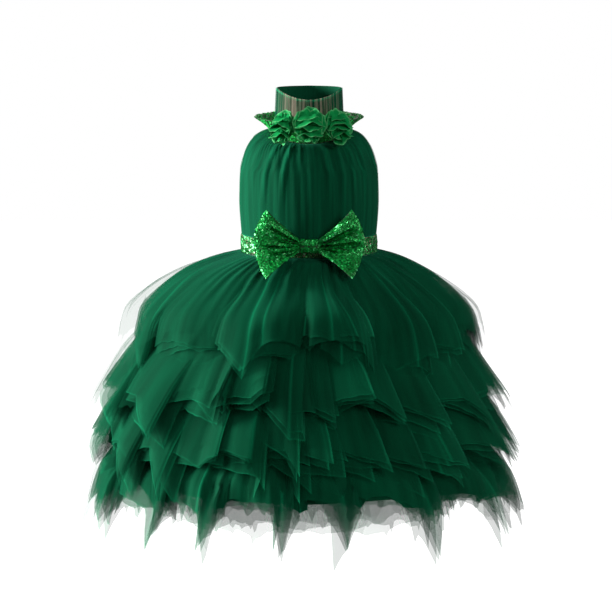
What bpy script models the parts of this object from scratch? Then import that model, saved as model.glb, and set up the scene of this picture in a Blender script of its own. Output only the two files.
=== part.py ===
"""Child's halter-neck tutu dress, filled out as it is worn, with no wearer.

Metres, +Z up. The front faces -Y and +X is the side at the right of the front view. The origin is the
middle of the neck opening at the height of the neck seam, where the wearer's neck holds the dress.
Angles round the garment start at centre front, in degrees, and grow towards +X.
"""
import math
import random
from collections import namedtuple

import bmesh
import bpy
from mathutils import Vector

# Cloth and seams
CLOTH = 0.0012  # wall of the tulle with what backs it
SEQUIN_CLOTH = 0.0016  # wall of the sequin cloth
SEAM_GAP = 0.0003  # clear distance between two pieces at a seam

# Neck
NECK_WIDTH = 0.0920  # across the collar, side to side
NECK_DEPTH = 0.0820  # front to back
NECK_SEAM_HEIGHT = -0.0095  # of the seam at the sides
NECK_SEAM_DIP = 0.0155  # the seam is lower by this at centre front and higher at centre back
COLLAR_TOP = 0.0455
COLLAR_FRONT_DIP = 0.0140  # the rim's dip at centre front
COLLAR_SPREAD = 0.0026  # the foot is wider than the rim by this all round
COLLAR_GATHERS = 18
COLLAR_GATHER_DEPTH = 0.0008
COLLAR_LAP = 7.0  # degrees past centre back at each end
LAP_LIFT = 0.0019  # how far the upper end of the lap stands off the lower one
BAND_OPENING = 24.0  # degrees from centre back to each end of the neck band
BAND_REACH = 0.0245  # how far the flared rim stands out from the seam at the sides
BAND_RIM_HEIGHT = 0.0075
BAND_RIM_DIP = 0.0035
BUTTON_RADIUS = 0.0040
BUTTON_THICKNESS = 0.0018
BUTTON_HEIGHTS = (0.014, 0.034)

# Waist and bow
WAIST_WIDTH = 0.1800
WAIST_DEPTH = 0.1520
WAIST_TOP = -0.1500
WAIST_BOTTOM = -0.1725
KNOT_CENTRE = Vector((0.0, -0.0848, -0.1560))
KNOT_WIDTH = 0.0216
KNOT_HEIGHT = 0.0150
KNOT_DEPTH = 0.0128
BOW_REACH = 0.0660  # from the middle of the bow to the end of a loop
BOW_ROOT = 0.0062  # half the height of a loop where the knot gathers it
BOW_PINCH = 0.14  # share of the loop's length inside the knot
BOW_TOP = 0.0494
BOW_BOTTOM = 0.0391
BOW_SIDE_CURVE = 0.0150
BOW_FOLD_DEPTH = 0.0026
BOW_REST_TOP = -0.163  # below this height the loops lean out over the skirt
BOW_REST_SLOPE = 1.60

# Skirt
DEPTH_SHARE = 0.86  # front-to-back depth of the skirt against its width
SKIRT_LEAN = -0.0080  # how far the hem's middle lies to the side of the waist's
HEM_LEVEL = -0.4800
BOW_DENT = 0.13  # share of its radius that the top tier gives way under the bow
BOW_DENT_REACH = 30.0  # degrees to each side of centre front

Section = namedtuple("Section", "height half_width half_depth edge_angle")
BODICE = (  # from the neck seam down; the edge angle is where the armhole or side seam cuts the section
    Section(-0.0095, 0.0500, 0.0442, 99.0),
    Section(-0.0130, 0.0675, 0.0520, 86.0),
    Section(-0.0215, 0.0780, 0.0590, 81.0),
    Section(-0.0365, 0.0862, 0.0655, 80.0),
    Section(-0.0530, 0.0902, 0.0700, 83.5),
    Section(-0.0680, 0.0918, 0.0730, 90.0),
    Section(-0.1050, 0.0928, 0.0762, 90.0),
    Section(-0.1497, 0.0898, 0.0756, 90.0),
)
UNDERARM = 5  # the row of BODICE where the side seam starts

Ring = namedtuple("Ring", "height radius flute")
UNDERSKIRT = (
    Ring(-0.1734, 0.0880, 0.0),
    Ring(-0.2000, 0.0990, 0.0),
    Ring(-0.3000, 0.1410, 0.0),
    Ring(-0.4000, 0.1810, 0.0),
    Ring(HEM_LEVEL, 0.2110, 0.0),
)
TIER_1 = (
    Ring(-0.1734, 0.0914, 0.0008),
    Ring(-0.1790, 0.1140, 0.0025),
    Ring(-0.1920, 0.1430, 0.0050),
    Ring(-0.2120, 0.1710, 0.0085),
    Ring(-0.2400, 0.1985, 0.0120),
    Ring(-0.2640, 0.2060, 0.0135),
    Ring(-0.2820, 0.2085, 0.0160),
)
TIER_2 = (
    Ring(-0.2020, 0.1026, 0.0006),
    Ring(-0.2140, 0.1330, 0.0030),
    Ring(-0.2400, 0.1620, 0.0060),
    Ring(-0.2750, 0.1880, 0.0080),
    Ring(-0.3100, 0.2120, 0.0160),
    Ring(-0.3500, 0.2350, 0.0260),
)
TIER_3 = (
    Ring(-0.2760, 0.1346, 0.0006),
    Ring(-0.2900, 0.1600, 0.0030),
    Ring(-0.3200, 0.1860, 0.0060),
    Ring(-0.3500, 0.2115, 0.0100),
    Ring(-0.3800, 0.2325, 0.0180),
    Ring(-0.4120, 0.2470, 0.0260),
)
TIER_4 = (
    Ring(-0.3460, 0.1640, 0.0006),
    Ring(-0.3650, 0.1860, 0.0030),
    Ring(-0.3950, 0.2090, 0.0070),
    Ring(-0.4250, 0.2290, 0.0120),
    Ring(-0.4550, 0.2500, 0.0210),
    Ring(-0.4900, 0.2560, 0.0270),
)

Fold = namedtuple("Fold", "angle drop swell")
TIER_1_FOLDS = (  # the handkerchief corners of the top tier, as the front shows them and alike behind
    Fold(-171.0, 0.026, 1.00),
    Fold(-148.0, 0.033, 0.85),
    Fold(-126.0, 0.018, 1.10),
    Fold(-103.0, 0.038, 0.95),
    Fold(-81.0, 0.042, 1.10),
    Fold(-60.0, 0.034, 0.90),
    Fold(-41.0, 0.012, 0.75),
    Fold(-20.5, 0.034, 1.00),
    Fold(-1.0, 0.036, 0.80),
    Fold(18.5, 0.026, 0.95),
    Fold(39.0, 0.024, 0.90),
    Fold(60.0, 0.033, 1.05),
    Fold(80.0, 0.036, 1.00),
    Fold(102.0, 0.040, 1.10),
    Fold(124.0, 0.022, 0.80),
    Fold(146.0, 0.034, 0.95),
    Fold(167.0, 0.024, 1.05),
)
TIER_2_FRONT = (
    Fold(-57.0, 0.030, 1.00),
    Fold(-41.5, 0.040, 0.95),
    Fold(-27.5, 0.026, 1.05),
    Fold(-13.9, 0.026, 0.90),
    Fold(-3.0, 0.031, 0.80),
    Fold(9.7, 0.025, 0.95),
    Fold(25.0, 0.018, 1.00),
    Fold(42.0, 0.024, 0.95),
    Fold(58.0, 0.032, 1.05),
)
TIER_3_FRONT = (
    Fold(-62.0, 0.030, 1.05),
    Fold(-45.0, 0.026, 0.95),
    Fold(-28.0, 0.018, 1.00),
    Fold(-12.2, 0.036, 1.00),
    Fold(6.0, 0.010, 0.85),
    Fold(20.8, 0.014, 0.95),
    Fold(36.9, 0.022, 0.90),
    Fold(55.0, 0.030, 1.00),
)
TIER_4_FRONT = (
    Fold(-61.0, 0.030, 1.05),
    Fold(-43.9, 0.046, 0.95),
    Fold(-27.9, 0.040, 1.00),
    Fold(-6.7, 0.042, 0.85),
    Fold(12.0, 0.024, 0.90),
    Fold(31.0, 0.040, 1.00),
    Fold(49.0, 0.030, 1.05),
)


def clear_scene():
    for item in list(bpy.data.objects):
        bpy.data.objects.remove(item, do_unlink=True)


def cloth_material(name, colour, roughness=0.75, metallic=0.0, sheen=0.3):
    material = bpy.data.materials.new(name)
    material.use_nodes = True
    shader = material.node_tree.nodes["Principled BSDF"]
    shader.inputs["Base Color"].default_value = (*colour, 1.0)
    shader.inputs["Roughness"].default_value = roughness
    shader.inputs["Metallic"].default_value = metallic
    shader.inputs["Sheen Weight"].default_value = sheen
    material.diffuse_color = (*colour, 1.0)
    return material


def smooth_step(value):
    value = min(max(value, 0.0), 1.0)
    return value * value * (3.0 - 2.0 * value)


def read_table(table, position):
    """The named columns of a table at a position from 0 (first row) to 1 (last row), on a smooth curve."""
    place = min(max(position, 0.0), 1.0) * (len(table) - 1)
    row = min(int(place), len(table) - 2)
    share = place - row
    before, start, end, after = (table[min(max(row + k, 0), len(table) - 1)] for k in (-1, 0, 1, 2))
    values = []
    for a, b, c, d in zip(before, start, end, after):
        slope_in, slope_out = (c - a) / 2.0, (d - b) / 2.0
        if (b - a) * (c - b) <= 0.0:
            slope_in = 0.0
        if (c - b) * (d - c) <= 0.0:
            slope_out = 0.0
        square, cube = share * share, share * share * share
        values.append(
            b * (2 * cube - 3 * square + 1)
            + slope_in * (cube - 2 * square + share)
            + c * (3 * square - 2 * cube)
            + slope_out * (cube - square)
        )
    return type(start)(*values)


def round_point(half_width, half_depth, angle, height):
    """A point on an ellipse round the garment; the angle in degrees starts at centre front."""
    turn = math.radians(angle)
    return Vector((half_width * math.sin(turn), -half_depth * math.cos(turn), height))


def add_object(name, mesh_builder, material):
    mesh = bpy.data.meshes.new(name)
    mesh_builder.to_mesh(mesh)
    mesh_builder.free()
    mesh.shade_smooth()
    mesh.set_sharp_from_angle(angle=math.radians(50.0))
    mesh.materials.append(material)
    item = bpy.data.objects.new(name, mesh)
    bpy.context.scene.collection.objects.link(item)
    return item


def cloth_wall(name, form, columns, rows, material, thickness=CLOTH, ring=False):
    """A wall of cloth: a grid laid on form(across, down), both from 0 to 1, given its thickness.

    Across runs towards +X on the front, and down from the upper edge to the lower one.
    """
    sheet = bmesh.new()
    bmesh.ops.create_grid(sheet, x_segments=columns, y_segments=rows, size=0.5)
    for vertex in sheet.verts:
        vertex.co = form(vertex.co.x + 0.5, 0.5 - vertex.co.y)
    if ring:
        bmesh.ops.remove_doubles(sheet, verts=sheet.verts, dist=1e-6)
    item = add_object(name, sheet, material)
    wall = item.modifiers.new("wall", "SOLIDIFY")
    wall.thickness = thickness
    wall.offset = 0.0
    return item


def neck_seam(angle):
    return NECK_SEAM_HEIGHT - NECK_SEAM_DIP * math.cos(math.radians(angle))


def collar_form(across, down):
    angle = (across - 0.5) * 2.0 * (180.0 + COLLAR_LAP)
    front = max(math.cos(math.radians(angle)), 0.0)
    top = COLLAR_TOP - COLLAR_FRONT_DIP * front**1.8
    foot = neck_seam(angle) - SEAM_GAP
    spread = COLLAR_SPREAD * (down - 0.5)
    spread += COLLAR_GATHER_DEPTH * math.cos(math.radians(angle) * COLLAR_GATHERS)
    spread += LAP_LIFT * smooth_step((angle - 162.0) / 16.0)
    height = top + (foot - top) * down
    return round_point(NECK_WIDTH / 2 - 0.0012 + spread, NECK_DEPTH / 2 - 0.0012 + spread, angle, height)


def band_form(across, down):
    angle = (across - 0.5) * 2.0 * (180.0 - BAND_OPENING)
    rim = BAND_RIM_HEIGHT - BAND_RIM_DIP * math.cos(math.radians(angle))
    foot = neck_seam(angle) + 0.0008
    outward = (1.0 - down) * (BAND_REACH - 0.0045 * abs(math.cos(math.radians(angle))))
    outward *= 1.0 - 0.10 * math.sin(math.pi * down)
    height = rim + (foot - rim) * down
    return round_point(NECK_WIDTH / 2 + 0.0024 + outward, NECK_DEPTH / 2 + 0.0024 + outward, angle, height)


def bodice_pleats(angle, position):
    """How far the soft gathers stand out: uneven, fading towards the side seams."""
    uneven = 1.0 + 0.35 * math.sin(math.radians(angle) * 3.0 + 1.0)
    depth = 0.0011 * math.sin(math.pi * min(position * 1.15 + 0.18, 1.0))
    return depth * uneven * math.cos(math.radians(angle) * 32.0 + 0.8 * math.sin(math.radians(angle) * 5.0))


def bodice_front_form(across, down):
    section = read_table(BODICE, down)
    edge = section.edge_angle - math.degrees(0.0003 / section.half_width)
    angle = (across - 0.5) * 2.0 * edge
    lift = (neck_seam(angle) - neck_seam(90.0)) * (1.0 - smooth_step(down / 0.75))
    pleat = bodice_pleats(angle, down)
    height = section.height + lift - 0.0008 * (1.0 - smooth_step(down / 0.1))
    return round_point(section.half_width + pleat, section.half_depth + pleat, angle, height)


def bodice_back_form(across, down):
    rows = BODICE[UNDERARM:]
    section = read_table(rows, down)
    edge = section.edge_angle + math.degrees(0.0003 / section.half_width)
    angle = edge + across * (360.0 - 2.0 * edge)
    pleat = 0.9 * bodice_pleats(angle * 0.75, 0.4)
    dip = 0.006 * math.sin(math.pi * across) * (1.0 - down)
    height = section.height - dip
    return round_point(section.half_width + pleat, section.half_depth + pleat, angle, height)


def waist_band_form(across, down):
    angle = (across - 0.5) * 360.0
    top = WAIST_TOP - SEAM_GAP
    height = top + (WAIST_BOTTOM - top) * down
    swell = 0.0008 * math.sin(math.pi * down)
    return round_point(WAIST_WIDTH / 2 + swell, WAIST_DEPTH / 2 + swell, angle, height)


def all_round(front_folds, count, seed, drop_low, drop_high):
    """The folds that the front shows, and uneven ones alike round the sides and back; the same on each run."""
    chance = random.Random(seed)
    start = front_folds[-1].angle
    step = (front_folds[0].angle + 360.0 - start) / (count + 1)
    folds = list(front_folds)
    for index in range(1, count + 1):
        angle = start + step * (index + chance.uniform(-0.18, 0.18))
        folds.append(Fold(angle, chance.uniform(drop_low, drop_high), chance.uniform(0.75, 1.1)))
    return tuple(folds)


def fold_at(folds, across):
    """Angle, drop and swell at a place across the ring, with how far it lies from the nearest ridge (0 to 1)."""
    place = across * len(folds)
    index = int(place)
    share = place - index
    start = folds[index % len(folds)]
    end = folds[(index + 1) % len(folds)]
    end_angle = end.angle + 360.0 * ((index + 1) // len(folds))
    start_angle = start.angle + 360.0 * (index // len(folds))
    near = start if share < 0.5 else end
    valley = 1.0 - abs(1.0 - 2.0 * share)
    return start_angle + (end_angle - start_angle) * share, near.drop, near.swell, valley


def skirt_lean(height):
    upper = smooth_step((WAIST_BOTTOM - height) / 0.025)
    lower = smooth_step((-0.26 - height) / 0.08)
    return SKIRT_LEAN * (0.5 * upper + 0.5 * lower)


def bow_dent(angle, height):
    """The share of its radius that the top tier keeps where the bow presses on it."""
    across = math.exp(-((angle / BOW_DENT_REACH) ** 2))
    down = smooth_step((-0.176 - height) / 0.014) * (1.0 - smooth_step((-0.204 - height) / 0.032))
    return 1.0 - BOW_DENT * across * down


def tier_form(rings, folds, dented=False):
    """A gathered ring of tulle: flutes that grow downwards and a hem drawn into handkerchief corners."""

    def form(across, down):
        angle, drop, swell, valley = fold_at(folds, across)
        ring = read_table(rings, down)
        ridge = (0.5 + 0.5 * math.cos(math.pi * valley)) ** 1.2
        corner = max(0.0, down - 0.55) / 0.45
        height = ring.height - drop * corner**1.5 * (1.0 - valley) ** 0.85
        flare = ring.radius + ring.flute * swell * ridge + 0.25 * drop * corner**2 * (1.0 - valley)
        if dented:
            flare *= bow_dent(angle if angle < 180.0 else angle - 360.0, height)
        point = round_point(flare, flare * DEPTH_SHARE, angle, height)
        point.x += skirt_lean(height)
        return point

    return form


def underskirt_form(across, down):
    ring = read_table(UNDERSKIRT, down)
    angle = (across - 0.5) * 360.0
    wave = 0.0030 * down * math.cos(math.radians(angle) * 9.0)
    point = round_point(ring.radius + wave, (ring.radius + wave) * DEPTH_SHARE, angle, ring.height)
    point.x += skirt_lean(ring.height)
    return point


def bow_loop_form(side):
    """One loop of the bow: a strip that leaves the knot in front, folds over and returns behind."""

    def form(across, down):
        outward = 1.0 - abs(1.0 - 2.0 * across)
        outward = outward**1.1 * (1.0 + 0.13 * math.sin(math.pi * outward))
        spread = max(0.0, (outward - BOW_PINCH) / (1.0 - BOW_PINCH))
        front = 1.0 if across < 0.5 else -1.0
        top = BOW_ROOT + (BOW_TOP - BOW_ROOT) * spread
        bottom = -BOW_ROOT - (BOW_BOTTOM - BOW_ROOT) * spread
        height = KNOT_CENTRE.z + top + (bottom - top) * down
        curve = BOW_SIDE_CURVE * (math.sin(math.pi * down) - 0.6) * spread**3
        along = 0.0028 + (BOW_REACH - 0.0028) * outward + curve
        gap = (0.0036 + 0.0036 * math.sin(math.pi * spread**1.4)) * math.sqrt(1.0 - spread**8)
        fold = BOW_FOLD_DEPTH * math.sin(math.pi * spread**0.6) * math.cos(math.pi * 5.0 * down + 0.4 * side)
        below = max(0.0, BOW_REST_TOP - height)
        press = BOW_REST_SLOPE * (math.hypot(below, 0.005) - 0.005) * smooth_step(spread / 0.25)
        depth = KNOT_CENTRE.y - 0.0025 * spread - front * gap + fold - press
        return Vector((side * along, depth, height))

    return form


def bow_knot_form(across, down):
    """A short band of sequin cloth round the pinched middle of the bow."""
    turn = across * 2.0 * math.pi
    squareness = 0.60
    upward = math.copysign(abs(math.sin(turn)) ** squareness, math.sin(turn)) * KNOT_HEIGHT / 2
    forward = math.copysign(abs(math.cos(turn)) ** squareness, math.cos(turn)) * KNOT_DEPTH / 2
    waist = 1.0 + 0.10 * abs(2.0 * down - 1.0)
    sideways = (down - 0.5) * KNOT_WIDTH
    return KNOT_CENTRE + Vector((sideways, -forward, upward * waist))


Layer = namedtuple("Layer", "radius low high petals wave turn")
PETAL_LAYERS = (  # from the back of the rosette to its front
    Layer(1.00, 0.0000, 0.0014, 6, 0.0016, 0.0),
    Layer(0.86, 0.0058, 0.0072, 5, 0.0017, 1.1),
    Layer(0.56, 0.0118, 0.0131, 4, 0.0016, 2.3),
)
PETAL_ROOT = 0.0040  # radius of the gathered middle that holds the petal layers
FLOWER_COLUMNS = 28
Flower = namedtuple("Flower", "name angle width height lift stand turn")
FLOWERS = (  # the stand is the length of the gathered root behind the petals
    Flower("flower_left", -31.5, 0.0385, 0.0470, -0.0030, 0.0060, 0.3),
    Flower("flower_centre", 0.0, 0.0425, 0.0510, 0.0000, 0.0090, 1.5),
    Flower("flower_right", 31.5, 0.0385, 0.0450, -0.0020, 0.0060, 2.4),
)


def petal_ring(layer, share, out, flower):
    """The points round one petal layer: lobed and wavy at the rim, round at the gathered root."""
    points = []
    for column in range(FLOWER_COLUMNS):
        angle = 2.0 * math.pi * column / FLOWER_COLUMNS
        if share == 0.0:
            points.append((PETAL_ROOT * math.cos(angle), PETAL_ROOT * math.sin(angle), out))
            continue
        lobe = abs(math.cos(0.5 * layer.petals * angle + layer.turn + flower.turn)) ** 0.7
        spread = share * (0.80 + 0.20 * lobe)
        wave = layer.wave * math.sin(layer.petals * angle + 2.0 * flower.turn)
        wide, tall = spread * flower.width / 2, spread * flower.height / 2
        points.append((wide * math.cos(angle), tall * math.sin(angle), out + wave))
    return points


def build_flower(flower, material):
    """A rosette: three wavy petal layers on one gathered middle, as one closed turned body."""
    outline = [(PETAL_LAYERS[0], 0.0, -flower.stand)]
    for layer in PETAL_LAYERS:
        outline.append((layer, 0.0, layer.low))
        outline.append((layer, layer.radius, layer.low))
        outline.append((layer, layer.radius, layer.high))
        outline.append((layer, 0.0, layer.high))
    shape = bmesh.new()
    rings = [[shape.verts.new(point) for point in petal_ring(*row, flower)] for row in outline]
    for lower, upper in zip(rings, rings[1:]):
        for column in range(FLOWER_COLUMNS):
            after = (column + 1) % FLOWER_COLUMNS
            shape.faces.new((lower[column], lower[after], upper[after], upper[column]))
    shape.faces.new(list(reversed(rings[0])))
    shape.faces.new(rings[-1])
    turn = math.radians(flower.angle)
    outward = Vector((math.sin(turn), -math.cos(turn), 0.10)).normalized()
    sideways = Vector((math.cos(turn), math.sin(turn), 0.0))
    upward = sideways.cross(outward) * -1.0
    around = 0.5 + flower.angle / (2.0 * (180.0 - BAND_OPENING))
    rim, foot = band_form(around, 0.0).z, band_form(around, 1.0).z
    seat = band_form(around, max(0.0, rim - flower.lift - PETAL_ROOT) / (rim - foot))
    centre = seat + outward * (flower.stand + SEQUIN_CLOTH / 2 + 3.0 * SEAM_GAP)
    centre.z = flower.lift
    for vertex in shape.verts:
        vertex.co = centre + sideways * vertex.co.x + upward * vertex.co.y + outward * vertex.co.z
    bmesh.ops.recalc_face_normals(shape, faces=shape.faces)
    return add_object(flower.name, shape, material)


def collar_button(name, height, material):
    """A small shank button on the lap of the collar, its face turned to the back."""
    shape = bmesh.new()
    bmesh.ops.create_cone(
        shape,
        cap_ends=True,
        segments=20,
        radius1=BUTTON_RADIUS,
        radius2=BUTTON_RADIUS * 0.85,
        depth=BUTTON_THICKNESS,
    )
    centre_back = 0.5 + 90.0 / (180.0 + COLLAR_LAP)
    seat = collar_form(centre_back, (COLLAR_TOP - height) / (COLLAR_TOP - neck_seam(180.0)))
    back = seat.y + CLOTH / 2 + 2.0 * SEAM_GAP
    for vertex in shape.verts:
        outward = vertex.co.z + BUTTON_THICKNESS / 2
        vertex.co = Vector((-vertex.co.x, back + outward, height + vertex.co.y))
    return add_object(name, shape, material)


def build_neck(tulle, sequins, chiffon, resin):
    cloth_wall("collar", collar_form, 76, 2, tulle)
    cloth_wall("neck_sequin_band", band_form, 48, 2, sequins, SEQUIN_CLOTH)
    for flower in FLOWERS:
        build_flower(flower, chiffon)
    for index, height in enumerate(BUTTON_HEIGHTS, start=1):
        collar_button(f"collar_button_{index}", height, resin)


def build_bodice(tulle, sequins):
    cloth_wall("bodice_front", bodice_front_form, 64, 6, tulle)
    cloth_wall("bodice_back", bodice_back_form, 40, 2, tulle)
    cloth_wall("waist_band", waist_band_form, 48, 2, sequins, SEQUIN_CLOTH, ring=True)


def build_bow(sequins):
    cloth_wall("bow_left_loop", bow_loop_form(-1.0), 13, 10, sequins, CLOTH)
    cloth_wall("bow_right_loop", bow_loop_form(1.0), 13, 10, sequins, CLOTH)
    cloth_wall("bow_knot", bow_knot_form, 20, 2, sequins, CLOTH, ring=True)


def build_skirt(tulle, satin):
    cloth_wall("underskirt", underskirt_form, 48, 4, satin, ring=True)
    cloth_wall("tulle_tier_1", tier_form(TIER_1, TIER_1_FOLDS, dented=True), 17 * 4, 6, tulle, ring=True)
    lower = (
        ("tulle_tier_2", TIER_2, all_round(TIER_2_FRONT, 12, 11, 0.016, 0.036)),
        ("tulle_tier_3", TIER_3, all_round(TIER_3_FRONT, 12, 12, 0.016, 0.036)),
        ("tulle_tier_4", TIER_4, all_round(TIER_4_FRONT, 13, 14, 0.016, 0.040)),
    )
    for name, rings, folds in lower:
        cloth_wall(name, tier_form(rings, folds), len(folds) * 4, 5, tulle, ring=True)


def main():
    clear_scene()
    tulle = cloth_material("green_tulle", (0.004, 0.085, 0.040), roughness=0.8)
    satin = cloth_material("green_satin", (0.003, 0.055, 0.028), roughness=0.45)
    sequins = cloth_material("green_sequins", (0.010, 0.300, 0.060), roughness=0.3, metallic=0.4)
    chiffon = cloth_material("green_chiffon", (0.010, 0.330, 0.080), roughness=0.7)
    resin = cloth_material("green_resin", (0.004, 0.100, 0.045), roughness=0.35, sheen=0.0)
    build_neck(tulle, sequins, chiffon, resin)
    build_bodice(tulle, sequins)
    build_bow(sequins)
    build_skirt(tulle, satin)


main()
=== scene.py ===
"""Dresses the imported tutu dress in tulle, satin, chiffon and sequins, and sets a plain studio round it.

Metres, +Z up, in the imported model's own frame: the front faces -Y, +X is at the right of the front view and
the origin is the middle of the neck opening. Angles round the garment start at centre front, in degrees, and
grow towards +X. A sheet is laid on a form, a function of how far across and down the cloth a point lies.
Both run from 0 to 1.
"""

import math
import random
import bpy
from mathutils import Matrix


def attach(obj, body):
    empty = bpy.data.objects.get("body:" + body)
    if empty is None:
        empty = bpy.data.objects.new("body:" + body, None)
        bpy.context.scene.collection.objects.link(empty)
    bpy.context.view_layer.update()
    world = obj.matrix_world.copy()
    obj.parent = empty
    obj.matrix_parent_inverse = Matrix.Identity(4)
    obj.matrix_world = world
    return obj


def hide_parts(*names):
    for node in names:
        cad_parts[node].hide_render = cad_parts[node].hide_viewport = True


bl_info = {
    "name": "Tulle Party Dress",
    "version": (1, 0, 0),
    "blender": (4, 5, 0),
    "location": "3D View > Sidebar > Dress",
    "description": "Dresses the packed tutu dress in tulle, satin, chiffon and sequins",
    "category": "Object",
}

from collections import namedtuple

import bmesh
import bpy
import numpy as np
from bpy.props import FloatProperty, FloatVectorProperty, IntProperty, PointerProperty
from mathutils import Vector

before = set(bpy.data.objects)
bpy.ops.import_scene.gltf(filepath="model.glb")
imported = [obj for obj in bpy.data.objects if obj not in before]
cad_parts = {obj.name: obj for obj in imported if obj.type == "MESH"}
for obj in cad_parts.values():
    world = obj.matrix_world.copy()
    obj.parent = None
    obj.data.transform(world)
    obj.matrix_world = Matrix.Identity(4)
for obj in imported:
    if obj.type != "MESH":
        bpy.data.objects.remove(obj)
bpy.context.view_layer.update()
BODY = "root"

# Neck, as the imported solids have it
NECK_WIDTH = 0.0920
NECK_DEPTH = 0.0820
NECK_SEAM_HEIGHT = -0.0095
NECK_SEAM_DIP = 0.0155
SEAM_GAP = 0.0003
COLLAR_TOP = 0.0455
COLLAR_FRONT_DIP = 0.0140
COLLAR_SPREAD = 0.0026
COLLAR_LAP = 7.0  # degrees past centre back at each end
COLLAR_EASE = 0.0012  # how far inside the neck seam the collar stands
COLLAR_TUCK = 0.0040  # how far below it the collar's foot lies
LAP_LIFT = 0.0019
LAP_START = 162.0  # degrees
LAP_RAMP = 16.0
BAND_OPENING = 24.0  # degrees from centre back to each end of the neck band
BAND_REACH = 0.0245
BAND_RIM_HEIGHT = 0.0075
BAND_RIM_DIP = 0.0035
BAND_FRONT_TRIM = 0.0045  # how much less it reaches out at centre front and back
BAND_HOLLOW = 0.10  # how much the band draws in halfway down, as a share of its reach there
BAND_EASE = 0.0024  # how far outside the neck seam the band's foot stands
BAND_LIFT = 0.0008  # and how far above it
SEQUIN_CLOTH = 0.0016
SEQUIN_LIFT = 0.0008
SEQUIN_CUP = 0.06  # how deep a sequin of radius 1 is cupped
SEQUIN_SIZES = (0.88, 1.12)

# Lengths of cloth from seam to hem, walls, and how far the bodice's two layers stand off its form
COLLAR_LENGTH = 0.052
BAND_LENGTH = 0.030
FRONT_LENGTH = 0.150
BACK_LENGTH = 0.082
BELT_LENGTH = 0.022
LOOP_LENGTH = 0.085
KNOT_LENGTH = 0.022
SATIN_LENGTH = 0.330
BAND_WALL = 0.0006
BOW_WALL = 0.0005
SATIN_WALL = 0.0004
LINING_OUTWARD = -0.0004
NET_OUTWARD = 0.0007

# Waist and bow
WAIST_WIDTH = 0.1800
WAIST_DEPTH = 0.1520
WAIST_TOP = -0.1500
WAIST_BOTTOM = -0.1725
KNOT_CENTRE = (0.0, -0.0848, -0.1560)
KNOT_WIDTH = 0.0216
KNOT_HEIGHT = 0.0150
KNOT_DEPTH = 0.0128
BOW_REACH = 0.0660
BOW_ROOT = 0.0062
BOW_PINCH = 0.14
BOW_TOP = 0.0494
BOW_BOTTOM = 0.0391
BOW_SIDE_CURVE = 0.0150
BOW_CORNER = 0.0022
BOW_CORNER_DROP = 0.055
BOW_REST_TOP = -0.163
BOW_REST_SLOPE = 1.60
BOW_START = 0.0028  # where a loop starts, beside the middle of the knot
BOW_GAP = 0.0036
BOW_FOLD = 0.0026
KNOT_SQUARENESS = 0.60
KNOT_PLEAT = 0.0006
BELT_SWELL = 0.0008
BELT_RIPPLE = 0.0003

# Skirt
DEPTH_SHARE = 0.86
SKIRT_LEAN = -0.0080
LEAN_LEVEL = -0.26  # where the second half of the lean starts
HEM_LEVEL = -0.4800
BOW_DENT = 0.13  # the share of its radius that the top tier gives way below the bow
BOW_DENT_REACH = 30.0
BOW_DENT_TOP = -0.176
BOW_DENT_FOOT = -0.204
SATIN_FLUTE = 0.0030
SATIN_RIPPLE = 0.0008
PETTICOAT_OVERLAP = 0.030
PETTICOAT_SPREAD = 0.0200  # how much wider it is at its hem than at its top
PETTICOAT_FLUTE = 0.0032
PETTICOAT_WAVE = 0.006
PETTICOAT_RAGGED = 0.010
PETTICOATS = (  # number, reach below the satin hem, and half width
    (1, 0.024, 0.2110),
    (2, 0.032, 0.2080),
    (3, 0.040, 0.2050),
)

Section = namedtuple("Section", "height half_width half_depth edge_angle")
BODICE = (
    Section(-0.0095, 0.0500, 0.0442, 99.0),
    Section(-0.0130, 0.0675, 0.0520, 86.0),
    Section(-0.0215, 0.0780, 0.0590, 81.0),
    Section(-0.0365, 0.0862, 0.0655, 80.0),
    Section(-0.0530, 0.0902, 0.0700, 83.5),
    Section(-0.0680, 0.0918, 0.0730, 90.0),
    Section(-0.1050, 0.0928, 0.0762, 90.0),
    Section(-0.1497, 0.0898, 0.0756, 90.0),
)
UNDERARM = 5  # the row of the table that the back starts at
SIDE_SEAM_LAP = 1.6  # degrees that the back reaches under the front at each side seam
BACK_TUCK = 0.0012  # how far inside the front it lies there
BACK_DIP = 0.006  # how much lower its top edge is at centre back
FRONT_TUCK = 0.0008  # how far the front's top edge lies below the neck seam
TIGHT_GATHER = 0.0005
LOOSE_GATHER = 0.0002
CHEST_GATHER = 0.0004

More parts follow.
